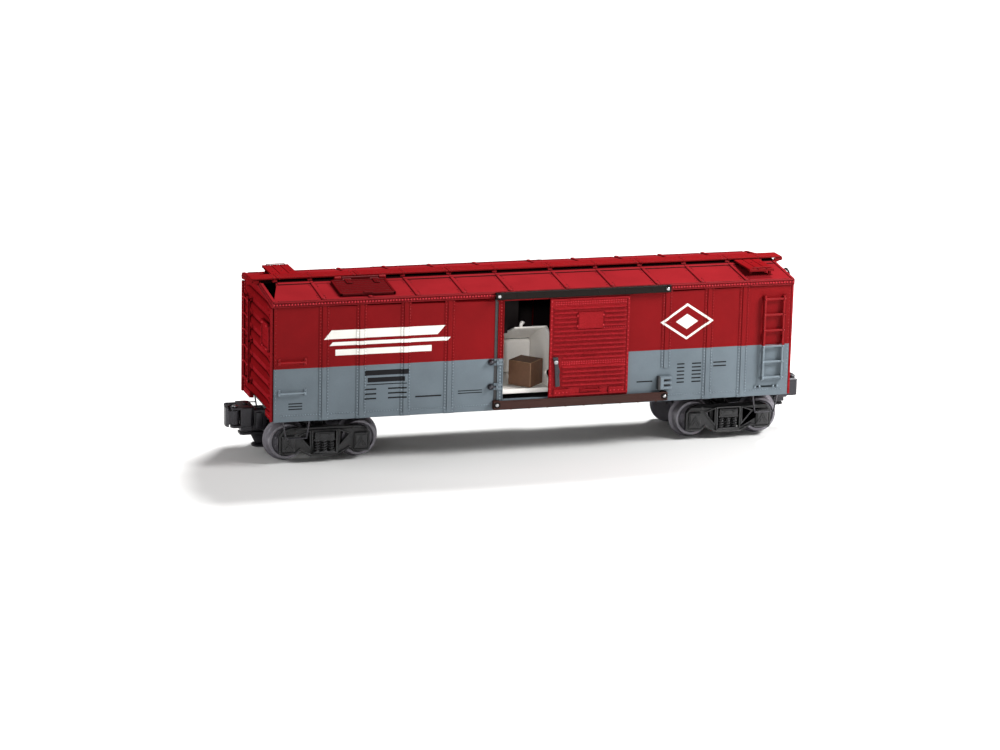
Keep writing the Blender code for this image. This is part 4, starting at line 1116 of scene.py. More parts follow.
def tack_board():
    """Framed placard board at the right end's far corner."""
    s = Shape()
    x = 136.2
    s.box((x, 15.2, 59.5), (x + 0.8, 30.2, 72.7), 0.12)
    for z in (59.3, 71.7):
        s.box((x + 0.2, 15.0, z), (x + 1.3, 30.4, z + 1.2), 0.16)
    for y in (15.0, 29.2):
        s.box((x + 0.2, y, 59.3), (x + 1.3, y + 1.2, 72.9), 0.16)
    for i in range(3):
        z = 63.4 + 2.6 * i
        s.box((x + 0.7, 16.2, z), (x + 0.9, 29.2, z + 0.15), 0.0)
    for y in (18.5, 27.0):
        for z in (60.4, 71.8):
            s.box((HALF_LENGTH, y - 0.8, z - 0.6), (x + 0.4, y + 0.8, z + 0.6), 0.1)
            s.dome((x + 1.3, y, z), (1, 0, 0), 0.4, 0.3)
    return s


def stirrup(x0, x1):
    s = Shape()
    y, top = -SIDE_Y + 0.9, 25.4
    path = rounded([(x0, y, top), (x0 + 1.6, y, 15.4), (x1 - 1.6, y, 15.4), (x1, y, top)], 1.2)
    s.add(bm_tube(path, 0.42))
    s.box((x0 + 1.4, y - 0.5, 15.0), (x1 - 1.4, y + 0.5, 15.5), 0.12)
    for x in (x0, x1):
        s.box((x - 1.0, y - 0.55, SILL_Z - 0.25), (x + 1.0, y + 0.55, SILL_Z + 0.4), 0.12)
    return s


# ---------------------------------------------------------------- doors and hatch


def top_guide():
    s = Shape()
    s.box((-23.0, -35.5, 81.4), (69.0, -34.5, 85.0), 0.3)
    s.box((-23.0, -35.6, 84.3), (69.0, -33.6, 85.0), 0.25)
    s.box((-23.0, -35.6, 81.4), (69.0, -34.6, 82.0), 0.2)
    for x in (-21.3, 67.2):
        s.box((x - 1.7, -35.6, 81.4), (x + 1.7, -33.6, 85.0), 0.4)
    for i in range(6):
        s.dome((-12.0 + 14.2 * i, -35.5, 83.1), (0, -1, 0), 0.4, 0.12)
    return s


def bottom_guide():
    s = Shape()
    s.box((-23.0, -35.5, 25.2), (69.0, -34.5, 29.5), 0.3)
    s.box((-23.0, -35.6, 28.9), (69.0, -34.5, 29.6), 0.25)
    s.box((-23.0, -35.6, 25.2), (69.0, -32.4, 26.0), 0.25)
    for x in (-21.3, 67.2):
        s.box((x - 1.7, -35.6, 25.2), (x + 1.7, -32.4, 29.6), 0.4)
    for i in range(9):
        x = -14.0 + 9.6 * i
        s.box((x - 0.5, -35.55, 24.9), (x + 0.5, -34.8, 26.2), 0.15)
    return s


def guide_rivets(radius, depth):
    s = Shape()
    for x in (-21.3, 67.2):
        for z in (83.2, 27.6):
            profile = [
                (0, radius * 1.1), (0.2, radius * 1.1), (depth - 0.15, radius * 0.8),
                (depth, radius * 0.4), (depth, 0)
            ]
            s.add(bm_lathe(profile, (x, -35.3, z), (0, -1, 0), 20))
    return s


def door_rib(x0, x1, face, z):
    """One board's bead: a lip that catches light on top and undercuts below, with tapered ends."""
    profile = ((0.4, -0.55), (-0.7, -0.5), (-0.95, -0.2), (-0.8, 0.1), (-0.1, 0.75), (0.4, 0.8))
    sections = []
    for x, size in ((x0, 0.25), (x0 + 0.9, 1.0), (x1 - 0.9, 1.0), (x1, 0.25)):
        sections.append([
            (x, face + (out if out > 0 else out * size), z + up * size) for out, up in profile
        ])
    return bm_loft(sections)


def door_panel(left):
    """Ribbed panel with rivet rows, placard, pull and foot blocks."""
    s = Shape()
    right = left + 41.8
    face, back = -34.7, -33.5
    out = (0, -1, 0)
    s.box((left, face, 30.4), (right, back, 80.4), 0.15)
    s.box((left, back - 0.7, 28.9), (right, back, 31.0), 0.1)
    s.box((left, back - 0.7, 79.8), (right, back, 81.7), 0.1)
    s.box((left, face - 0.3, 79.3), (right, face + 0.3, 80.4), 0.14)
    s.box((left, face - 0.3, 30.4), (right, face + 0.3, 31.5), 0.14)
    for x in (left, right - 1.3):
        s.box((x, face - 0.28, 30.4), (x + 1.3, face + 0.3, 80.4), 0.12)
        s.row((x + 0.65, face - 0.28, 32.0), (x + 0.65, face - 0.28, 79.0), 2.33, out, 0.26, 0.2)
    z = 35.8
    while z < 76.5:
        start = left + (6.3 if z < 52.0 else 1.5)
        over_rivets = abs(z - 47.45) < 0.6
        if not over_rivets:
            spans = [(start, right - 1.5)]
            if 64.2 < z < 73.6:
                spans = [(left + 1.5, left + 14.3), (left + 27.9, right - 1.5)]
            for a, b in spans:
                s.add(door_rib(a, b, face, z))
        z += 2.33
    for z, a, b in ((78.0, 3.0, 39.5), (65.3, 28.6, 39.8), (47.2, 6.8, 39.8)):
        for dz in (-0.55, 0.55):
            s.row((left + a, face, z + dz), (left + b, face, z + dz), 1.25, out, 0.28, 0.22)
    px = left + 14.5
    s.box((px, face - 0.7, 64.6), (px + 13.2, face + 0.3, 73.2), 0.18)
    s.box((px + 0.5, face - 0.8, 65.1), (px + 12.7, face, 72.7), 0.08)
    for x in (px - 0.9, px + 11.6):
        for z in (66.2, 71.4):
            s.box((x, face - 0.75, z - 0.7), (x + 2.2, face + 0.2, z + 0.7), 0.15)
            s.dome((x + (0.5 if x < px else 1.7), face - 0.75, z), out, 0.32, 0.2)
    for x0, x1 in ((2.4, 10.4), (31.4, 39.8)):
        s.box((left + x0, face - 0.7, 30.5), (left + x1, face + 0.3, 34.0), 0.25)
        s.row(
            (left + x0 + 1.0, face - 0.7, 32.2), (left + x1 - 1.0, face - 0.7, 32.2), 1.9, out,
            0.3, 0.2
        )
    s.add(bm_tube(
        rounded(
            [
                (left + 17.2, face, 33.0), (left + 17.2, face - 0.8, 33.0),
                (left + 27.2, face - 0.8, 33.0), (left + 27.2, face, 33.0)
            ],
            0.5
        ),
        0.42
    ))
    for x in (17.2, 27.2):
        s.box((left + x - 0.7, face - 0.35, 31.8), (left + x + 0.7, face + 0.2, 34.2), 0.14)
    s.add(bm_tube(
        rounded(
            [
                (left + 17.4, face, 52.2), (left + 17.4, face - 0.85, 51.9),
                (left + 25.6, face - 0.85, 51.9), (left + 25.6, face, 52.2)
            ],
            0.6
        ),
        0.4
    ))
    for x in (10.0, 22.0, 34.0):
        s.hexagon((left + x, face - 0.3, 79.9), out, 0.5, 0.15)
    return s


def door_lining(left):
    s = Shape()
    s.box((left + 0.4, -33.5, 31.4), (left + 41.4, -33.38, 79.4), 0.0)
    return s


def latch(left):
    s = Shape()
    face = -34.9
    s.prism(
        [
            (left + 1.6, 50.6), (left + 4.4, 50.6), (left + 4.6, 47.6), (left + 5.7, 35.6),
            (left + 3.3, 35.4), (left + 2.6, 47.0)
        ],
        face - 0.85, face, "XZ", 0.22
    )
    s.add(bm_tube(
        rounded(
            [
                (left + 4.4, face - 0.4, 45.8), (left + 5.3, face - 0.7, 43.0),
                (left + 4.3, face - 0.7, 40.4), (left + 5.2, face - 0.4, 37.2)
            ],
            0.9
        ),
        0.34
    ))
    return s


def latch_rivet(left):
    s = Shape()
    s.add(bm_lathe(
        [(0, 1.15), (0.3, 1.1), (0.6, 0.75), (0.72, 0)], (left + 3.3, -35.7, 48.1), (0, -1, 0), 20
    ))
    return s


def hatch_lid():
    """Planked lid in a frame, with strap hinges and the knuckle that turns between the lugs."""
    s = Shape()
    low, high, near, far = -101.0, -73.0, -9.6, -30.2

    def slab(x0, x1, y0, y1, z0, z1, bevel=0.12):
        outline = [
            (y0, roof_z(y0) + z0), (y1, roof_z(y1) + z0), (y1, roof_z(y1) + z1),
            (y0, roof_z(y0) + z1)
        ]
        s.prism(outline, x0, x1, "YZ", bevel)

    slab(low + 0.2, high - 0.2, far + 0.2, near - 0.1, 0.3, 0.9)
    planks = 7
    depth = (near - far - 2.4) / planks
    for i in range(planks):
        y0 = far + 1.2 + depth * i
        slab(low + 1.2, high - 1.2, y0 + 0.12, y0 + depth - 0.12, 0.7, 1.3, 0.16)
    for x0, x1 in ((low, low + 1.2), (high - 1.2, high)):
        slab(x0, x1, far, near, 0.3, 1.5, 0.18)
    slab(low, high, far, far + 1.2, 0.3, 1.5, 0.18)
    slab(low, high, near - 1.2, near, 0.3, 1.5, 0.18)
    y, z = -7.8, 89.4
    for x0, x1 in ((-94.9, -90.4), (-80.8, -76.3)):
        outline = [
            (near - 0.4, roof_z(near) + 0.4), (y, z - 1.0), (y, z + 0.6),
            (near - 0.4, roof_z(near) + 1.5)
        ]
        s.prism(outline, x0, x1, "YZ", 0.12)
        slab(x0 + 0.8, x1 - 0.8, near - 6.0, near, 1.2, 1.75, 0.15)
        for dy in (2.0, 4.6):
            s.dome(
                ((x0 + x1) / 2, near - dy, roof_z(near - dy) + 1.72), (0, -0.118, 1), 0.42, 0.25
            )
    s.rod((-94.9, y, z), (-76.3, y, z), 1.05, 0.15, 20)
    slab(-89.2, -84.8, far - 0.1, far + 1.6, 1.2, 2.0, 0.2)
    return s


# ---------------------------------------------------------------- running gear


def floor_plate():
    s = Shape()
    s.box((-133.0, -30.8, 25.0), (133.0, 30.8, 26.6), 0.2)
    for y in (-9.0, 9.0):
        s.box((-60.0, y - 1.5, 24.4), (60.0, y + 1.5, 25.3), 0.2)
    for side in (-1, 1):
        x = side * TRUCK_X
        s.add(bm_lathe(
            [
                (20.8, 0.0), (20.8, 6.2), (21.1, 6.5), (23.6, 6.5), (24.6, 8.0), (25.6, 8.0),
                (25.6, 0.0)
            ],
            (x, 0, 0), (0, 0, 1), 40
        ))
        s.box((x - 3.0, -24.0, 23.9), (x + 3.0, -8.5, 25.2), 0.2)
        s.box((x - 3.0, 8.5, 23.9), (x + 3.0, 24.0, 25.2), 0.2)
    for x in (-74.0, -44.0, -14.0, 14.0, 44.0, 74.0):
        s.box((x - 0.8, -30.0, 24.6), (x + 0.8, 30.0, 25.2), 0.12)
    for x in (-70.0, 70.0):
        for y in (-24.0, 24.0):
            s.add(bm_lathe(
                [(24.9, 0), (24.9, 1.6), (24.5, 1.5), (24.3, 1.1), (24.3, 0)], (x, y, 0),
                (0, 0, 1), 24
            ))
    return s


def brake_rods():
    """One thin brake rod under the floor, bent between the trucks and above the wheel tops."""
    s = Shape()
    s.add(bm_tube(
        rounded(
            [(-62.0, 3.0, 24.5), (-20.0, 3.0, 24.5), (20.0, -3.0, 24.5), (62.0, -3.0, 24.5)], 4.0
        ),
        0.35
    ))
    return s


def side_frame(side):
    """A cast side frame: web, edge flanges, bolster end on coil springs, lidded journal boxes."""
    s = Shape()
    cx = TRUCK_X
    half = [
        (7.3, 3.6), (12.6, 6.6), (14.6, 4.9), (22.2, 4.9), (23.2, 6.2), (23.2, 14.6), (21.0, 17.2),
        (17.6, 18.4)
    ]
    outer = half + [(-x, z) for x, z in reversed(half)]
    window = [(-5.8, 5.2), (5.8, 5.2), (5.8, 16.2), (-5.8, 16.2)]
    triangle = [(7.6, 8.6), (12.4, 14.2), (7.6, 16.0)]
    mirrored = [(-x, z) for x, z in reversed(triangle)]

    def at(points):
        return [(cx + x, z) for x, z in points]

    def plate(outlines, y0, y1, bevel):
        low, high = sorted((side * y0, side * y1))
        s.add(bm_plate([at(o) for o in outlines], low, high, "XZ"), bevel)

    plate([outer, window, triangle, mirrored], 22.1, 23.6, 0.15)
    plate([outer, inset(outer, 1.1)], 21.8, 24.4, 0.22)
    plate([inset(window, -0.9), window], 21.8, 24.3, 0.18)
    for hole in (triangle, mirrored):
        plate([inset(hole, -0.7), hole], 21.9, 24.2, 0.16)

    def block(x0, x1, y0, y1, z0, z1, bevel=0.2):
        s.box((cx + x0, side * y0, z0), (cx + x1, side * y1, z1), bevel)

    block(-5.0, 5.0, 19.0, 24.6, 12.2, 15.9, 0.4)
    block(-4.2, 4.2, 24.2, 25.0, 13.0, 15.2, 0.3)
    block(-5.4, 5.4, 21.9, 24.4, 11.4, 12.3, 0.2)
    block(-5.4, 5.4, 21.9, 24.4, 5.0, 5.8, 0.2)
    for x in (-2.4, 2.4):
        s.hexagon((cx + x, side * 25.0, 14.1), (0, side, 0), 0.6, 0.3)
    for x in (-3.7, 0.0, 3.7):
        s.add(bm_tube(helix((cx + x, side * 23.1, 5.7), 1.15, 5.8, 4.5), 0.36, 1))
        s.rod((cx + x, side * 23.1, 5.6), (cx + x, side * 23.1, 11.5), 0.5, 0.0, 10)
    for x in (-HALF_WHEELBASE, HALF_WHEELBASE):
        block(x - 3.4, x + 3.4, 22.0, 24.8, 6.6, 14.8, 0.5)
        block(x - 2.8, x + 2.8, 24.6, 25.4, 7.6, 13.6, 0.35)
        block(x - 2.9, x + 2.9, 24.4, 25.2, 13.4, 14.5, 0.25)
        s.add(bm_lathe(
            [(0, 1.7), (0.35, 1.6), (0.5, 1.0), (0.5, 0)], (cx + x, side * 24.95, 10.6),
            (0, side, 0), 20
        ))
        for dx in (-2.2, 2.2):
            s.hexagon((cx + x + dx, side * 25.2, 14.0), (0, side, 0), 0.4, 0.2)
        for reach in (2.9, 1.7):
            peak = 7.9 + reach * 1.85
            for lean in (-1, 1):
                foot = cx + x + lean * reach
                chevron = [
                    (cx + x, peak), (cx + x, peak - 0.75), (foot - lean * 0.35, 8.0),
                    (foot + lean * 0.25, 8.0)
                ]
                s.prism(chevron, *sorted((side * 25.2, side * 25.75)), "XZ", 0.1)
        block(x - 4.4, x + 4.4, 22.2, 23.8, 4.9, 6.9, 0.3)
    for x in (-14.6, 14.6):
        s.hexagon((cx + x, side * 24.3, 17.2), (0, side, 0), 0.6, 0.3)
        s.hexagon((cx + x * 0.62, side * 24.3, 5.6), (0, side, 0), 0.5, 0.3)
    return s


def truck_middle():
    """Bolster, centre plate, brake beams and the drawbar that carries the coupler."""
    s = Shape()
    cx = TRUCK_X
    s.box((cx - 5.0, -22.0, 12.2), (cx + 5.0, 22.0, 15.8), 0.5)
    s.box((cx - 3.6, -18.0, 15.0), (cx + 3.6, 18.0, 16.6), 0.5)
    s.add(bm_lathe(
        [
            (15.6, 0), (15.6, 7.2), (17.2, 7.2), (17.8, 6.5), (20.2, 6.5), (20.5, 6.2),
            (20.5, 1.9), (19.8, 1.8), (19.8, 0)
        ],
        (cx, 0, 0), (0, 0, 1), 40
    ))
    s.box((cx - 5.4, -21.6, 5.0), (cx + 5.4, 21.6, 6.6), 0.3)
    for side in (-1, 1):
        s.box((cx - 2.0, side * 8.0, 15.6), (cx + 2.0, side * 12.0, 18.6), 0.4)
        s.box((cx - 5.2, side * 20.6, 5.4), (cx + 5.2, side * 21.4, 12.8), 0.2)
        for x0, x1 in ((-9.4, -6.2), (6.2, 9.4)):
            s.box((cx + x0, side * 16.0, 5.6), (cx + x1, side * 21.3, 15.6), 0.5)
    s.box((cx + 4.0, -4.5, 13.6), (cx + 24.4, 4.5, 15.4), 0.3)
    for y in (-3.8, 3.2):
        s.box((cx + 5.0, y, 14.8), (cx + 24.0, y + 0.6, 16.0), 0.15)
    for side in (-1, 1):
        s.add(bm_tube(
            rounded(
                [
                    (cx + side * 6.6, -21.0, 7.2), (cx + side * 6.6, -12.0, 7.2),
                    (cx + side * 6.6, 12.0, 7.2), (cx + side * 6.6, 21.0, 7.2)
                ],
                2.0
            ),
            0.6
        ))
    return s


def coupler_head():
    """Drawbar, head with guard arm, and the ears that hold the knuckle."""
    s = Shape()
    cx = TRUCK_X
    s.box((cx + 24.7, -4.5, 12.8), (cx + 32.4, 4.5, 23.8), 0.8)
    s.box((cx + 27.0, -5.2, 14.0), (cx + 30.6, 5.2, 22.6), 0.6)
    outline = [
        (cx + 31.4, -6.2), (cx + 33.2, -7.4), (cx + 38.8, -7.4), (cx + 38.8, 7.2),
        (cx + 33.2, 7.2), (cx + 31.4, 5.6)
    ]
    s.prism(outline, 15.5, 25.8, "XY", 0.7)
    s.box((cx + 31.8, -5.0, 12.8), (cx + 38.2, 5.0, 16.2), 0.7)
    guard = [
        (cx + 37.6, -7.4), (cx + 43.4, -7.4), (cx + 44.6, -6.6), (cx + 43.6, -5.2),
        (cx + 41.0, -4.2), (cx + 37.6, -3.0)
    ]
    s.prism(guard, 16.2, 25.2, "XY", 0.6)
    px, py = cx + 41.2, 4.8
    for z0, z1 in ((15.4, 16.7), (24.6, 25.9)):
        ear = [(cx + 37.8, py - 2.5)] + arc((px, py), 2.4, -90, 90, 16) + [(cx + 37.8, py + 2.5)]
        s.prism(ear, z0, z1, "XY", 0.2)
    for z in (18.0, 20.6, 23.2):
        s.box((cx + 33.4, -7.6, z - 0.5), (cx + 38.0, -7.0, z + 0.5), 0.15)
    s.add(
        bm_lathe(
            [(25.5, 0), (25.5, 1.5), (26.2, 1.5), (26.5, 1.1), (26.5, 0)], (cx + 34.8, 0, 0),
            (0, 0, 1), 6
        ),
        0.1
    )
    return s


def knuckle():
    """The hook, drawn as one rounded claw round the pin."""
    s = Shape()
    px, py = TRUCK_X + 41.2, 4.8
    s.add(bm_lathe(
        [(17.0, 0.8), (17.0, 2.1), (17.3, 2.3), (24.0, 2.3), (24.3, 2.1), (24.3, 0.8)],
        (px, py, 0), (0, 0, 1), 28
    ))
    arm = [(px + 0.2, py - 2.2), (px + 3.4, py - 2.2), (px + 3.6, py + 1.0), (px + 0.4, py + 2.2)]
    s.prism(arm, 17.1, 24.2, "XY", 0.4)
    claw = [
        (px + 2.95, py + 0.6),
        (px + 1.4, py - 4.2),
        (px + 1.1, py - 5.4),
        (px + 1.7, py - 6.4),
        (px + 2.8, py - 6.6),
        (px + 3.9, py - 6.1),
        (px + 4.6, py - 4.6),
        (px + 4.6, py - 0.8),
        (px + 3.9, py + 0.5),
    ]
    claw = [claw[0], (px + 2.95, py - 3.2)] + claw[1:]
    s.prism(claw, 15.6, 25.6, "XY", 0.55)
    return s


def knuckle_pin():
    s = Shape()
    px, py = TRUCK_X + 41.2, 4.8
    s.add(bm_lathe(
        [
            (15.1, 0), (15.1, 0.85), (26.2, 0.85), (26.2, 1.6), (26.6, 1.5), (26.85, 0.9),
            (26.85, 0)
        ],
        (px, py, 0), (0, 0, 1), 20
    ))
    return s


def trip_plate():
    """Armature under the coupler, with the round button that an uncoupling track pulls down."""
    s = Shape()
    cx = TRUCK_X
    s.prism(
        [
            (cx + 26.0, -3.2), (cx + 36.4, -3.6), (cx + 38.2, -2.6), (cx + 38.2, 2.6),
            (cx + 36.4, 3.6), (cx + 26.0, 3.2)
        ],
        10.6, 11.9, "XY", 0.3
    )
    s.prism(
        [(cx + 32.6, 11.0), (cx + 29.6, 5.0), (cx + 25.4, 5.0), (cx + 26.4, 11.0)], -1.4, 1.4,
        "XZ", 0.4
    )
    s.add(bm_lathe(
        [(4.0, 0), (4.0, 3.9), (4.3, 4.3), (4.9, 4.4), (5.3, 4.0), (5.3, 0)], (cx + 27.4, 0, 0),
        (0, 0, 1), 32
    ))
    return s


def lever_wire():
    """Thin wire from the end sill down to the coupler's head."""
    s = Shape()
    cx = TRUCK_X
    s.add(bm_tube(
        rounded([(cx + 33.6, 3.0, 25.6), (cx + 33.6, 3.0, 27.6), (cx + 31.0, 6.0, 28.2)], 1.0), 0.3
    ))
    return s


def wheel(side):
    """Tread, flange, dished plate, rim and hub of one wheel about the Y axis."""
    profile = [
        (13.6, 1.5),
        (13.6, 9.4),
        (13.7, 10.2),
        (14.0, 10.75),
        (14.35, 10.9),
        (14.7, 10.75),
        (15.1, 10.0),
        (15.5, 9.35),
        (16.0, 9.1),
        (20.1, 8.9),
        (20.4, 8.75),
        (20.5, 8.5),
        (20.5, 7.6),
        (20.3, 7.35),
        (19.5, 7.1),
        (19.2, 6.6),
        (19.1, 5.2),
        (19.3, 3.8),
        (19.8, 3.1),
        (20.3, 2.9),
        (20.45, 2.6),
        (20.45, 1.2),
    ]
    return bm_lathe([(along, radius) for along, radius in profile], (0, 0, 0), (0, side, 0), 64)


def wheelset():
    s = Shape()
    for side in (-1, 1):
        s.add(wheel(side))
        s.rod((0, side * 20.2, 0), (0, side * 23.3, 0), 1.2, 0.15, 20)
        for i in range(9):
            turn = 2 * pi * i / 9
            radius = 5.3
            centre = (radius * cos(turn), side * 19.15, radius * sin(turn))
            s.add(bm_lathe(
                [(0, 0.62), (0.22, 0.55), (0.3, 0.25), (0.3, 0)], centre, (0, side, 0), 10
            ))
    s.rod((0, -13.7, 0), (0, 13.7, 0), 1.5, 0.0, 24)
    s.add(bm_lathe([(-3.0, 1.5), (-2.4, 2.0), (2.4, 2.0), (3.0, 1.5)], (0, 0, 0), (0, 1, 0), 24))
    return s


# ---------------------------------------------------------------- dispenser and brake


def bin_shape():
    """The white bin: floor with a lip, curved right wall, sloping hood with its hook."""
    s = Shape()
    y, z = 5.4, 49.4
    x0, x1 = -17.3, 9.0
    s.box((x0, -28.6, 31.2), (x1, y + 1.6, 33.4), 0.35)
    s.box((x0, -28.6, 33.0), (x1, -27.6, 33.65), 0.15)
    mouth = arc((-16.4, 51.5), 12.2, 248, 105, 36)
    wall = [
        (y + 1.6, 32.5), (-25.0, 32.5), (-25.0, 37.5), (-24.6, 37.9), (-22.0, 38.4), (-21.2, 39.0)
    ] + mouth
    wall += [(y + 1.6, z + 2.4)]
    s.prism(wall, x1 - 1.0, x1, "YZ", 0.2)
    hood = []
    for i in range(13):
        t = i / 12
        yy = y + 1.6 + (-19.4 - y - 1.6) * t
        zz = z + 2.2 + (63.3 - z - 2.2) * t + 0.7 * sin(pi * t)
        hood.append((yy, zz))
    under = [(yy + 0.3, zz - 0.9) for yy, zz in reversed(hood)]
    s.prism(hood + under, -8.2, x1 - 0.2, "YZ", 0.2)
    s.prism(
        [(y + 1.6, z + 2.9), (y + 0.6, z + 2.9), (y + 0.6, z + 1.7), (y + 1.6, z + 1.7)], -8.2,
        x1 - 0.2, "YZ", 0.15
    )
    s.add(bm_tube(
        rounded(
            [(-4.6, -18.9, 62.6), (-4.6, -19.0, 64.6), (-4.2, -19.6, 65.8), (-3.6, -20.2, 65.2)],
            0.8
        ),
        0.85, 4
    ))
    s.prism(
        [(y - 1.6, 32.5), (y - 1.6, z + 1.6), (y + 1.6, z + 1.6), (y + 1.6, 32.5)], x0, x0 + 1.0,
        "YZ", 0.15
    )
    for x in (-14.0, 3.0):
        s.box((x, -12.0, 26.9), (x + 3.0, -6.0, 31.6), 0.2)
    s.box((x0, -28.5, 33.2), (x0 + 1.0, -8.0, 36.0), 0.2)
    return s


def kicker_shape():
    s = Shape()
    y, z = 5.4, 49.4
    x0, x1 = -16.0, 7.7
    s.box((x0, y - 1.5, 34.1), (x1, y - 0.5, z), 0.2)
    s.rod((x0, y, z), (x1, y, z), 1.5, 0.2, 28)
    for x in (-12.0, -4.2, 3.6):
        s.box((x - 0.4, y - 0.7, 36.0), (x + 0.4, y + 0.4, z - 0.6), 0.12)
    return s


def chute_shape():
    s = Shape()

    def floor_at(x):
        return 44.0 + (-19.0 - x) * 27.0 / 85.0

    x0, x1, x2, top = -104.0, -19.0, -2.9, 80.4
    front = [(x0, floor_at(x0) - 1.4), (x1, floor_at(x1) - 1.4), (x1, top), (x0, top)]
    rear = front[:2] + [(x1, 57.8), (-8.6, 57.8), (-8.6, 60.2), (x2, 60.2), (x2, top), (x0, top)]
    s.prism(front, -26.8, -25.8, "XZ", 0.15)
    s.prism(rear, -9.2, -8.2, "XZ", 0.15)
    s.prism([rear[0], rear[1], (x1, floor_at(x1)), (x0, floor_at(x0))], -26.3, -8.7, "XZ", 0.1)
    s.box((x0, -26.8, floor_at(x0) - 1.4), (x0 + 1.2, -8.2, top), 0.15)
    for x in (-90.0, -40.0):
        s.box((x - 3.0, -20.0, 26.9), (x + 3.0, -15.0, floor_at(x) - 0.6), 0.3)
    for x in (-95.0, -75.0, -55.0, -35.0):
        s.box((x - 0.5, -27.1, floor_at(x) - 1.0), (x + 0.5, -26.4, top - 0.4), 0.12)
        s.box((x - 0.5, -8.6, floor_at(x) - 1.0), (x + 0.5, -7.9, top - 0.4), 0.12)
    return s


def solenoid_frame():
    s = Shape()
    x, z = -4.0, 41.0
    s.box((x - 9.0, 9.4, 31.2), (x + 9.0, 28.8, 32.4), 0.15)
    ring = arc((x, z), 2.95, 0, 340, 17)
    for y in (9.4, 27.8):
        plate = [(x - 9.0, 31.2), (x + 9.0, 31.2), (x + 9.0, z + 8.8), (x - 9.0, z + 8.8)]
        s.add(bm_plate([plate, list(reversed(ring))], y, y + 1.0, "XZ"), 0.12)
    for fx in (x - 7.5, x + 7.5):
        for fy in (12.0, 26.0):
            s.rod((fx, fy, 26.9), (fx, fy, 31.5), 1.6, 0.2, 20)
            s.hexagon((fx, fy, 32.4), (0, 0, 1), 1.5, 0.8)
    return s


def solenoid_winding():
    """Turns of wire side by side between the bobbin's cheeks."""
    s = Shape()
    x, z = -4.0, 41.0
    profile = [(11.6, 2.95)]
    steps = 30
    for i in range(steps + 1):
        along = 11.6 + 15.0 * i / steps
        profile.append((along, 7.2 + (0.16 if i % 2 else 0.0)))
    profile.append((26.6, 2.95))
    s.add(bm_lathe(profile, (x, 0, z), (0, 1, 0), 40))
    return s


def solenoid_bobbin():
    s = Shape()
    x, z = -4.0, 41.0
    for y in (10.7, 26.6):
        s.add(bm_lathe(
            [
                (y, 2.95), (y, 8.1), (y + 0.15, 8.2), (y + 0.75, 8.2), (y + 0.9, 8.1),
                (y + 0.9, 2.95)
            ],
            (x, 0, z), (0, 1, 0), 40
        ))
    s.add(bm_lathe(
        [(10.7, 2.95), (10.7, 3.3), (27.5, 3.3), (27.5, 2.95)], (x, 0, z), (0, 1, 0), 32
    ))
    return s


def plunger_shape():
    s = Shape()
    s.add(bm_lathe(
        [
            (5.5, 0), (5.5, 0.9), (5.7, 1.1), (7.4, 1.1), (7.4, 2.3), (7.7, 2.6), (26.5, 2.6),
            (26.8, 2.3), (26.8, 0)
        ],
        (-4.0, 0, 41.0), (0, 1, 0), 32
    ))
    return s


def cube_shape():
    s = Shape()
    half = 12.7 / 2
    s.add(bm_box((-half, -half, 0), (half, half, 12.7)), 0.0)
    return s


def brake_case():
    s = Shape()
    y, z = -12.6, 80.4
    back = 136.3
    s.box((back, y - 2.5, z - 2.6), (back + 1.9, y + 2.5, z + 2.8), 0.5)
    s.add(bm_lathe(
        [
            (back + 1.6, 2.2), (back + 2.4, 1.9), (back + 2.6, 0.9), (back + 2.6, 0.6),
            (back + 4.7, 0.6), (back + 4.7, 0)
        ],
        (0, y, z), (1, 0, 0), 24
    ))
    return s


def brake_wheel():
    """Dished wheel with five bent spokes and a ridged rim."""
    s = Shape()
    y, z = -12.6, 80.4
    x = 140.0
    rim_radius, rim_thickness, ridge_radius, ridges, steps = 5.0, 0.5, 5.45, 30, 48
    turns = [2 * pi * i / steps for i in range(steps + 1)]
    s.add(bm_tube(
        [(x, y + rim_radius * cos(a), z + rim_radius * sin(a)) for a in turns], rim_thickness
    ))
    for i in range(ridges):
        turn = 2 * pi * i / ridges
        ridge = (x, y + ridge_radius * cos(turn), z + ridge_radius * sin(turn))
        s.dome(ridge, (0, cos(turn), sin(turn)), 0.2, 0.12, 6)
    s.add(bm_lathe(
        [
            (x - 0.8, 0.7), (x - 0.8, 1.4), (x - 0.5, 1.5), (x + 0.4, 1.5), (x + 0.8, 1.2),
            (x + 0.8, 0.7)
        ],
        (0, y, z), (1, 0, 0), 24
    ))
    for i in range(5):
        turn = 2 * pi * i / 5 + pi / 2
        c, q = cos(turn), sin(turn)
        path = [(x, y + r * c, z + r * q) for r in (1.2, 2.4, 3.8, 5.0)]
        path[1] = (x - 0.35, path[1][1], path[1][2])
        path[2] = (x - 0.3, path[2][1], path[2][2])
        s.add(bm_tube(path, 0.32))
    return s


def brake_chain():
    """Rod that runs down the end from the hand brake."""
    s = Shape()
    y = -12.6
    s.add(bm_tube([(136.9, y + 1.6, 77.8), (136.9, y + 1.6, 30.0)], 0.3))
    return s


# ---------------------------------------------------------------- putting it together


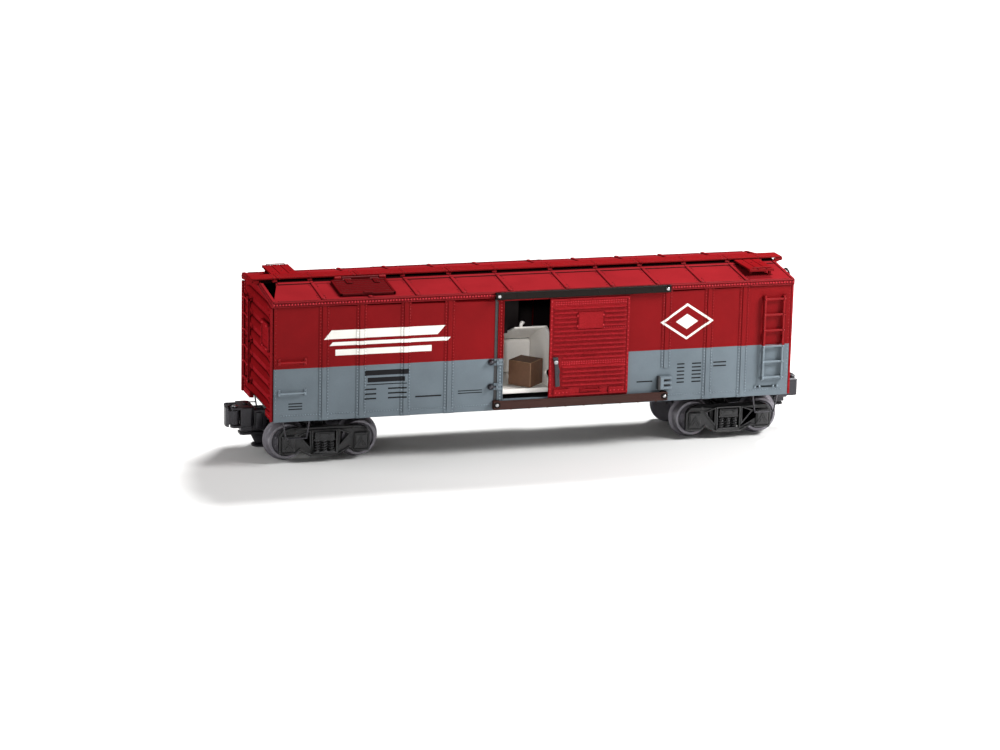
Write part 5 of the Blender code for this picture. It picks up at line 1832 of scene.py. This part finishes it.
def build_shell():
    for side, turn in (("front", MIRROR["front"]), ("rear", MIRROR["rear"])):
        make("side_" + side, side_wall(), "car", "livery", ["body_side_" + side], turn)
        make("door_stop_" + side, door_stop(), "car", "livery_bar", (), turn)
        make("keepers_" + side, keepers(), "car", "livery_bar", (), turn)
        make("keeper_studs_" + side, keeper_studs(), "car", "metal", (), turn)
        make("painted_shadow_strips_" + side, painted_shadow_strips(), "car", "plastic", (), turn)
        for label, z in (("lower", 39.0), ("upper", 54.6)):
            name = "grab_iron_" + side + "_" + label
            make(
                "handhold_" + side + "_" + label, grab_iron(z), "car", "livery_rivet", [name], turn
            )
        make(
            "rungs_side_" + side, side_ladder(), "car", "livery_bar", ["ladder_side_" + side], turn
        )
        make("lateral_walk_" + side, lateral(), "car", "plank", ["lateral_board_" + side], turn)
        for label, x0, x1 in (("left", -130.1, -116.4), ("right", 116.4, 130.1)):
            make(
                "stirrup_" + side + "_" + label, stirrup(x0, x1), "car", "metal",
                ["step_" + side + "_" + label], turn
            )
        make("guide_rail_top_" + side, top_guide(), "car", "guide", ["guide_top_" + side], turn)
        make(
            "guide_rail_bottom_" + side, bottom_guide(), "car", "guide_low",
            ["guide_bottom_" + side], turn
        )
        make("guide_rings_" + side, guide_rivets(1.7, 0.6), "car", "guide", (), turn)
        make("guide_rivets_" + side, guide_rivets(0.95, 0.95), "car", "steel", (), turn)
    for end, turn in (("right", MIRROR["right"]), ("left", MIRROR["left"])):
        make("end_" + end, end_wall(), "car", "red", ["body_end_" + end], turn)
        make("rungs_end_" + end, end_ladder(), "car", "red", ["ladder_end_" + end], turn)
        make("placard_board_" + end, tack_board(), "car", "red", ["tack_board_" + end], turn)
    make("roof_skin", roof_skin(), "car", "roof", ["roof"])
    make("cornice_rivets", cornice_rivets(), "car", "red")
    make("roof_trim", roof_trim(), "car", "roof")
    make("hatch_lugs", hatch_lugs(), "car", "red")
    make("hatch_rim", opening_rim(), "car", "red")
    make("roof_planks", walk(), "car", "plank", ["roof_walk"])
    make("roof_saddles", walk_saddles(), "car", "red")


def build_doors():
    for side, turn, left in (("front", MIRROR["front"], 5.7), ("rear", MIRROR["rear"], -18.2)):
        body = "door_" + side
        make("door_panel_" + side, door_panel(left), body, "door", [body], turn)
        make("door_lining_" + side, door_lining(left), body, "dark", (), turn)
        make("door_strap_" + side, latch(left), body, "metal", ["door_latch_" + side], turn)
        make("door_strap_rivet_" + side, latch_rivet(left), body, "steel", (), turn)
    make("hatch_lid", hatch_lid(), "roof_hatch", "hatch", ["roof_hatch"])


def build_running_gear():
    make("floor_plate", floor_plate(), "car", "floor", ["underframe"])
    make("brake_rods", brake_rods(), "car", "metal")
    frames = {side: side_frame(side) for side in (-1, 1)}
    middle, head, hook = truck_middle(), coupler_head(), knuckle()
    pin, trip, wire = knuckle_pin(), trip_plate(), lever_wire()
    wheels = wheelset()
    for end, sign in (("right", 1), ("left", -1)):
        turn = MIRROR[end]
        truck = "truck_" + end
        whole = Shape().merge(frames[-1]).merge(frames[1]).merge(middle)
        make("truck_casting_" + end, whole, truck, "plastic", ["truck_frame_" + end], turn)
        make("coupler_casting_" + end, head, truck, "metal", ["coupler_head_" + end], turn)
        make("coupler_wire_" + end, wire, truck, "metal", (), turn)
        make("coupler_pin_" + end, pin, truck, "steel", ["knuckle_pin_" + end], turn)
        make("coupler_knuckle_" + end, hook, "knuckle_" + end, "metal", ["knuckle_" + end], turn)
        make(
            "coupler_trip_" + end, trip, "trip_plate_" + end, "metal", ["trip_plate_" + end], turn
        )
        for label, offset in (("outer", HALF_WHEELBASE), ("inner", -HALF_WHEELBASE)):
            name = "wheelset_" + end + "_" + label
            place = Matrix.Translation((sign * (TRUCK_X + offset), 0, AXLE_Z))
            make("wheels_" + end + "_" + label, wheels, name, "wheel", [name], place, 35)


def build_dispenser():
    make("white_bin", bin_shape(), "car", "white", ["merchandise_bin"])
    make("kicker_paddle", kicker_shape(), "kicker", "white", ["kicker"])
    make("chute", chute_shape(), "car", "dark", ["magazine_chute"])
    make("coil_bracket", solenoid_frame(), "car", "steel", ["solenoid_frame"])
    make("coil_winding", solenoid_winding(), "car", "copper", ["solenoid_coil"])
    make("coil_bobbin", solenoid_bobbin(), "car", "plastic")
    make("plunger_rod", plunger_shape(), "plunger", "steel", ["plunger"])
    turn = Matrix.Translation((-1.7, -19.3, 33.8)) @ Matrix.Rotation(radians(-46.5), 4, "Z")
    cube = make("cube", cube_shape(), "merchandise_cube", "cube", ["merchandise_cube"], turn)
    cube.data.materials.append(MATERIALS["edge"])
    rounding = cube.modifiers.new("edges", "BEVEL")
    rounding.width = 0.17 * MM
    rounding.segments = 2
    rounding.material = 1


def build_brake():
    make("brake_case", brake_case(), "car", "metal", ["brake_housing"])
    make("hand_wheel", brake_wheel(), "brake_wheel", "metal", ["brake_wheel"])
    make("brake_rod_end", brake_chain(), "car", "metal")


def finish_cad_nodes():
    """The CAD nodes that stay visible take the same finishes."""
    finish_of = {
        SLOTS[finish]: finish
        for finish in ("red", "plastic", "metal", "wheel", "steel", "white", "dark")
    }
    for subpart in frame["record"]["subparts"]:
        finish = finish_of.get(subpart["material_slot"])
        if finish:
            node = frame["nodes"][subpart["node"]]
            node.data.materials.clear()
            node.data.materials.append(MATERIALS[finish])


# ---------------------------------------------------------------- stage


def hang(data, place, target):
    """Put a light into the scene at one place, in metres, aimed at another."""
    light = bpy.data.objects.new(data.name, data)
    bpy.context.scene.collection.objects.link(light)
    light.location = place
    direction = Vector(target) - light.location
    light.rotation_euler = direction.to_track_quat("-Z", "Y").to_euler()


def add_light(name, place, target, size, energy, colour=(1.0, 1.0, 1.0)):
    data = bpy.data.lights.new(name, "AREA")
    data.shape = "RECTANGLE"
    data.size, data.size_y = size
    data.energy = energy
    data.color = colour
    hang(data, place, target)


def build_stage():
    bm = bmesh.new()
    bmesh.ops.create_grid(bm, x_segments=2, y_segments=2, size=6.0)
    mesh = bpy.data.meshes.new("studio_floor")
    bm.to_mesh(mesh)
    bm.free()
    n = Nodes("pale_floor")
    place = n.place()
    n.put(
        n.shader.inputs["Base Color"],
        n.shade(rgb(232, 232, 231), n.remap(n.noise(place, 0.01), 0.3, 0.7, 0.99, 1.0))
    )
    n.shader.inputs["Roughness"].default_value = 0.7
    mesh.materials.append(n.material)
    floor = bpy.data.objects.new("studio_floor", mesh)
    bpy.context.scene.collection.objects.link(floor)
    world = bpy.data.worlds.new("studio")
    world.use_nodes = True
    background = world.node_tree.nodes["Background"]
    background.inputs["Color"].default_value = (1.0, 1.0, 1.0, 1.0)
    background.inputs["Strength"].default_value = 0.23
    bpy.context.scene.world = world
    key = bpy.data.lights.new("key", "SUN")
    key.energy, key.angle = 5.0, radians(14)
    sun = bpy.data.objects.new("key", key)
    bpy.context.scene.collection.objects.link(sun)
    sun.rotation_euler = Vector((0.5, 0.6, 0.85)).to_track_quat("Z", "Y").to_euler()
    add_light("front_right", (0.44, -0.28, 0.42), (0.12, 0, 0.05), (0.2, 0.2), 5.2)
    add_light("left", (-1.1, 0.1, 0.5), (-0.1, 0, 0.06), (0.4, 0.4), 4.0)
    add_light("front", (-0.7, -1.1, 0.5), (0, 0, 0.05), (0.4, 0.4), 1.4)
    lamp = bpy.data.lights.new("doorway", "SPOT")
    lamp.energy, lamp.shadow_soft_size = 14.0, 0.04
    lamp.spot_size, lamp.spot_blend = radians(6.5), 1.0
    hang(lamp, (-0.3, -0.86, 0.33), (-0.005, -0.01, 0.048))
    bpy.context.scene.view_settings.view_transform = "Standard"


def build_camera():
    """Long lens, slightly above and to the left of the car, with the picture's small roll."""
    azimuth, elevation, roll = radians(-17.28), radians(14.24), radians(1.34)
    distance = 1.729
    target = Vector((-0.0091, 0.0, 0.0337))
    back = Vector((sin(azimuth) * cos(elevation), -cos(azimuth) * cos(elevation), sin(elevation)))
    right = Vector((cos(azimuth), sin(azimuth), 0))
    up = back.cross(right)
    rolled_right = right * cos(roll) + up * sin(roll)
    rolled_up = up * cos(roll) - right * sin(roll)
    data = bpy.data.cameras.new("camera")
    data.lens = 122.3
    data.sensor_width = 36.0
    data.clip_start, data.clip_end = 0.05, 50.0
    camera = bpy.data.objects.new("camera", data)
    turn = Matrix((rolled_right, rolled_up, back)).transposed().to_4x4()
    camera.matrix_world = Matrix.Translation(target + back * distance) @ turn
    bpy.context.scene.collection.objects.link(camera)
    bpy.context.scene.camera = camera


build_camera()
build_stage()
finish_cad_nodes()
build_shell()
build_doors()
build_running_gear()
build_dispenser()
build_brake()

bpy.context.view_layer.update()
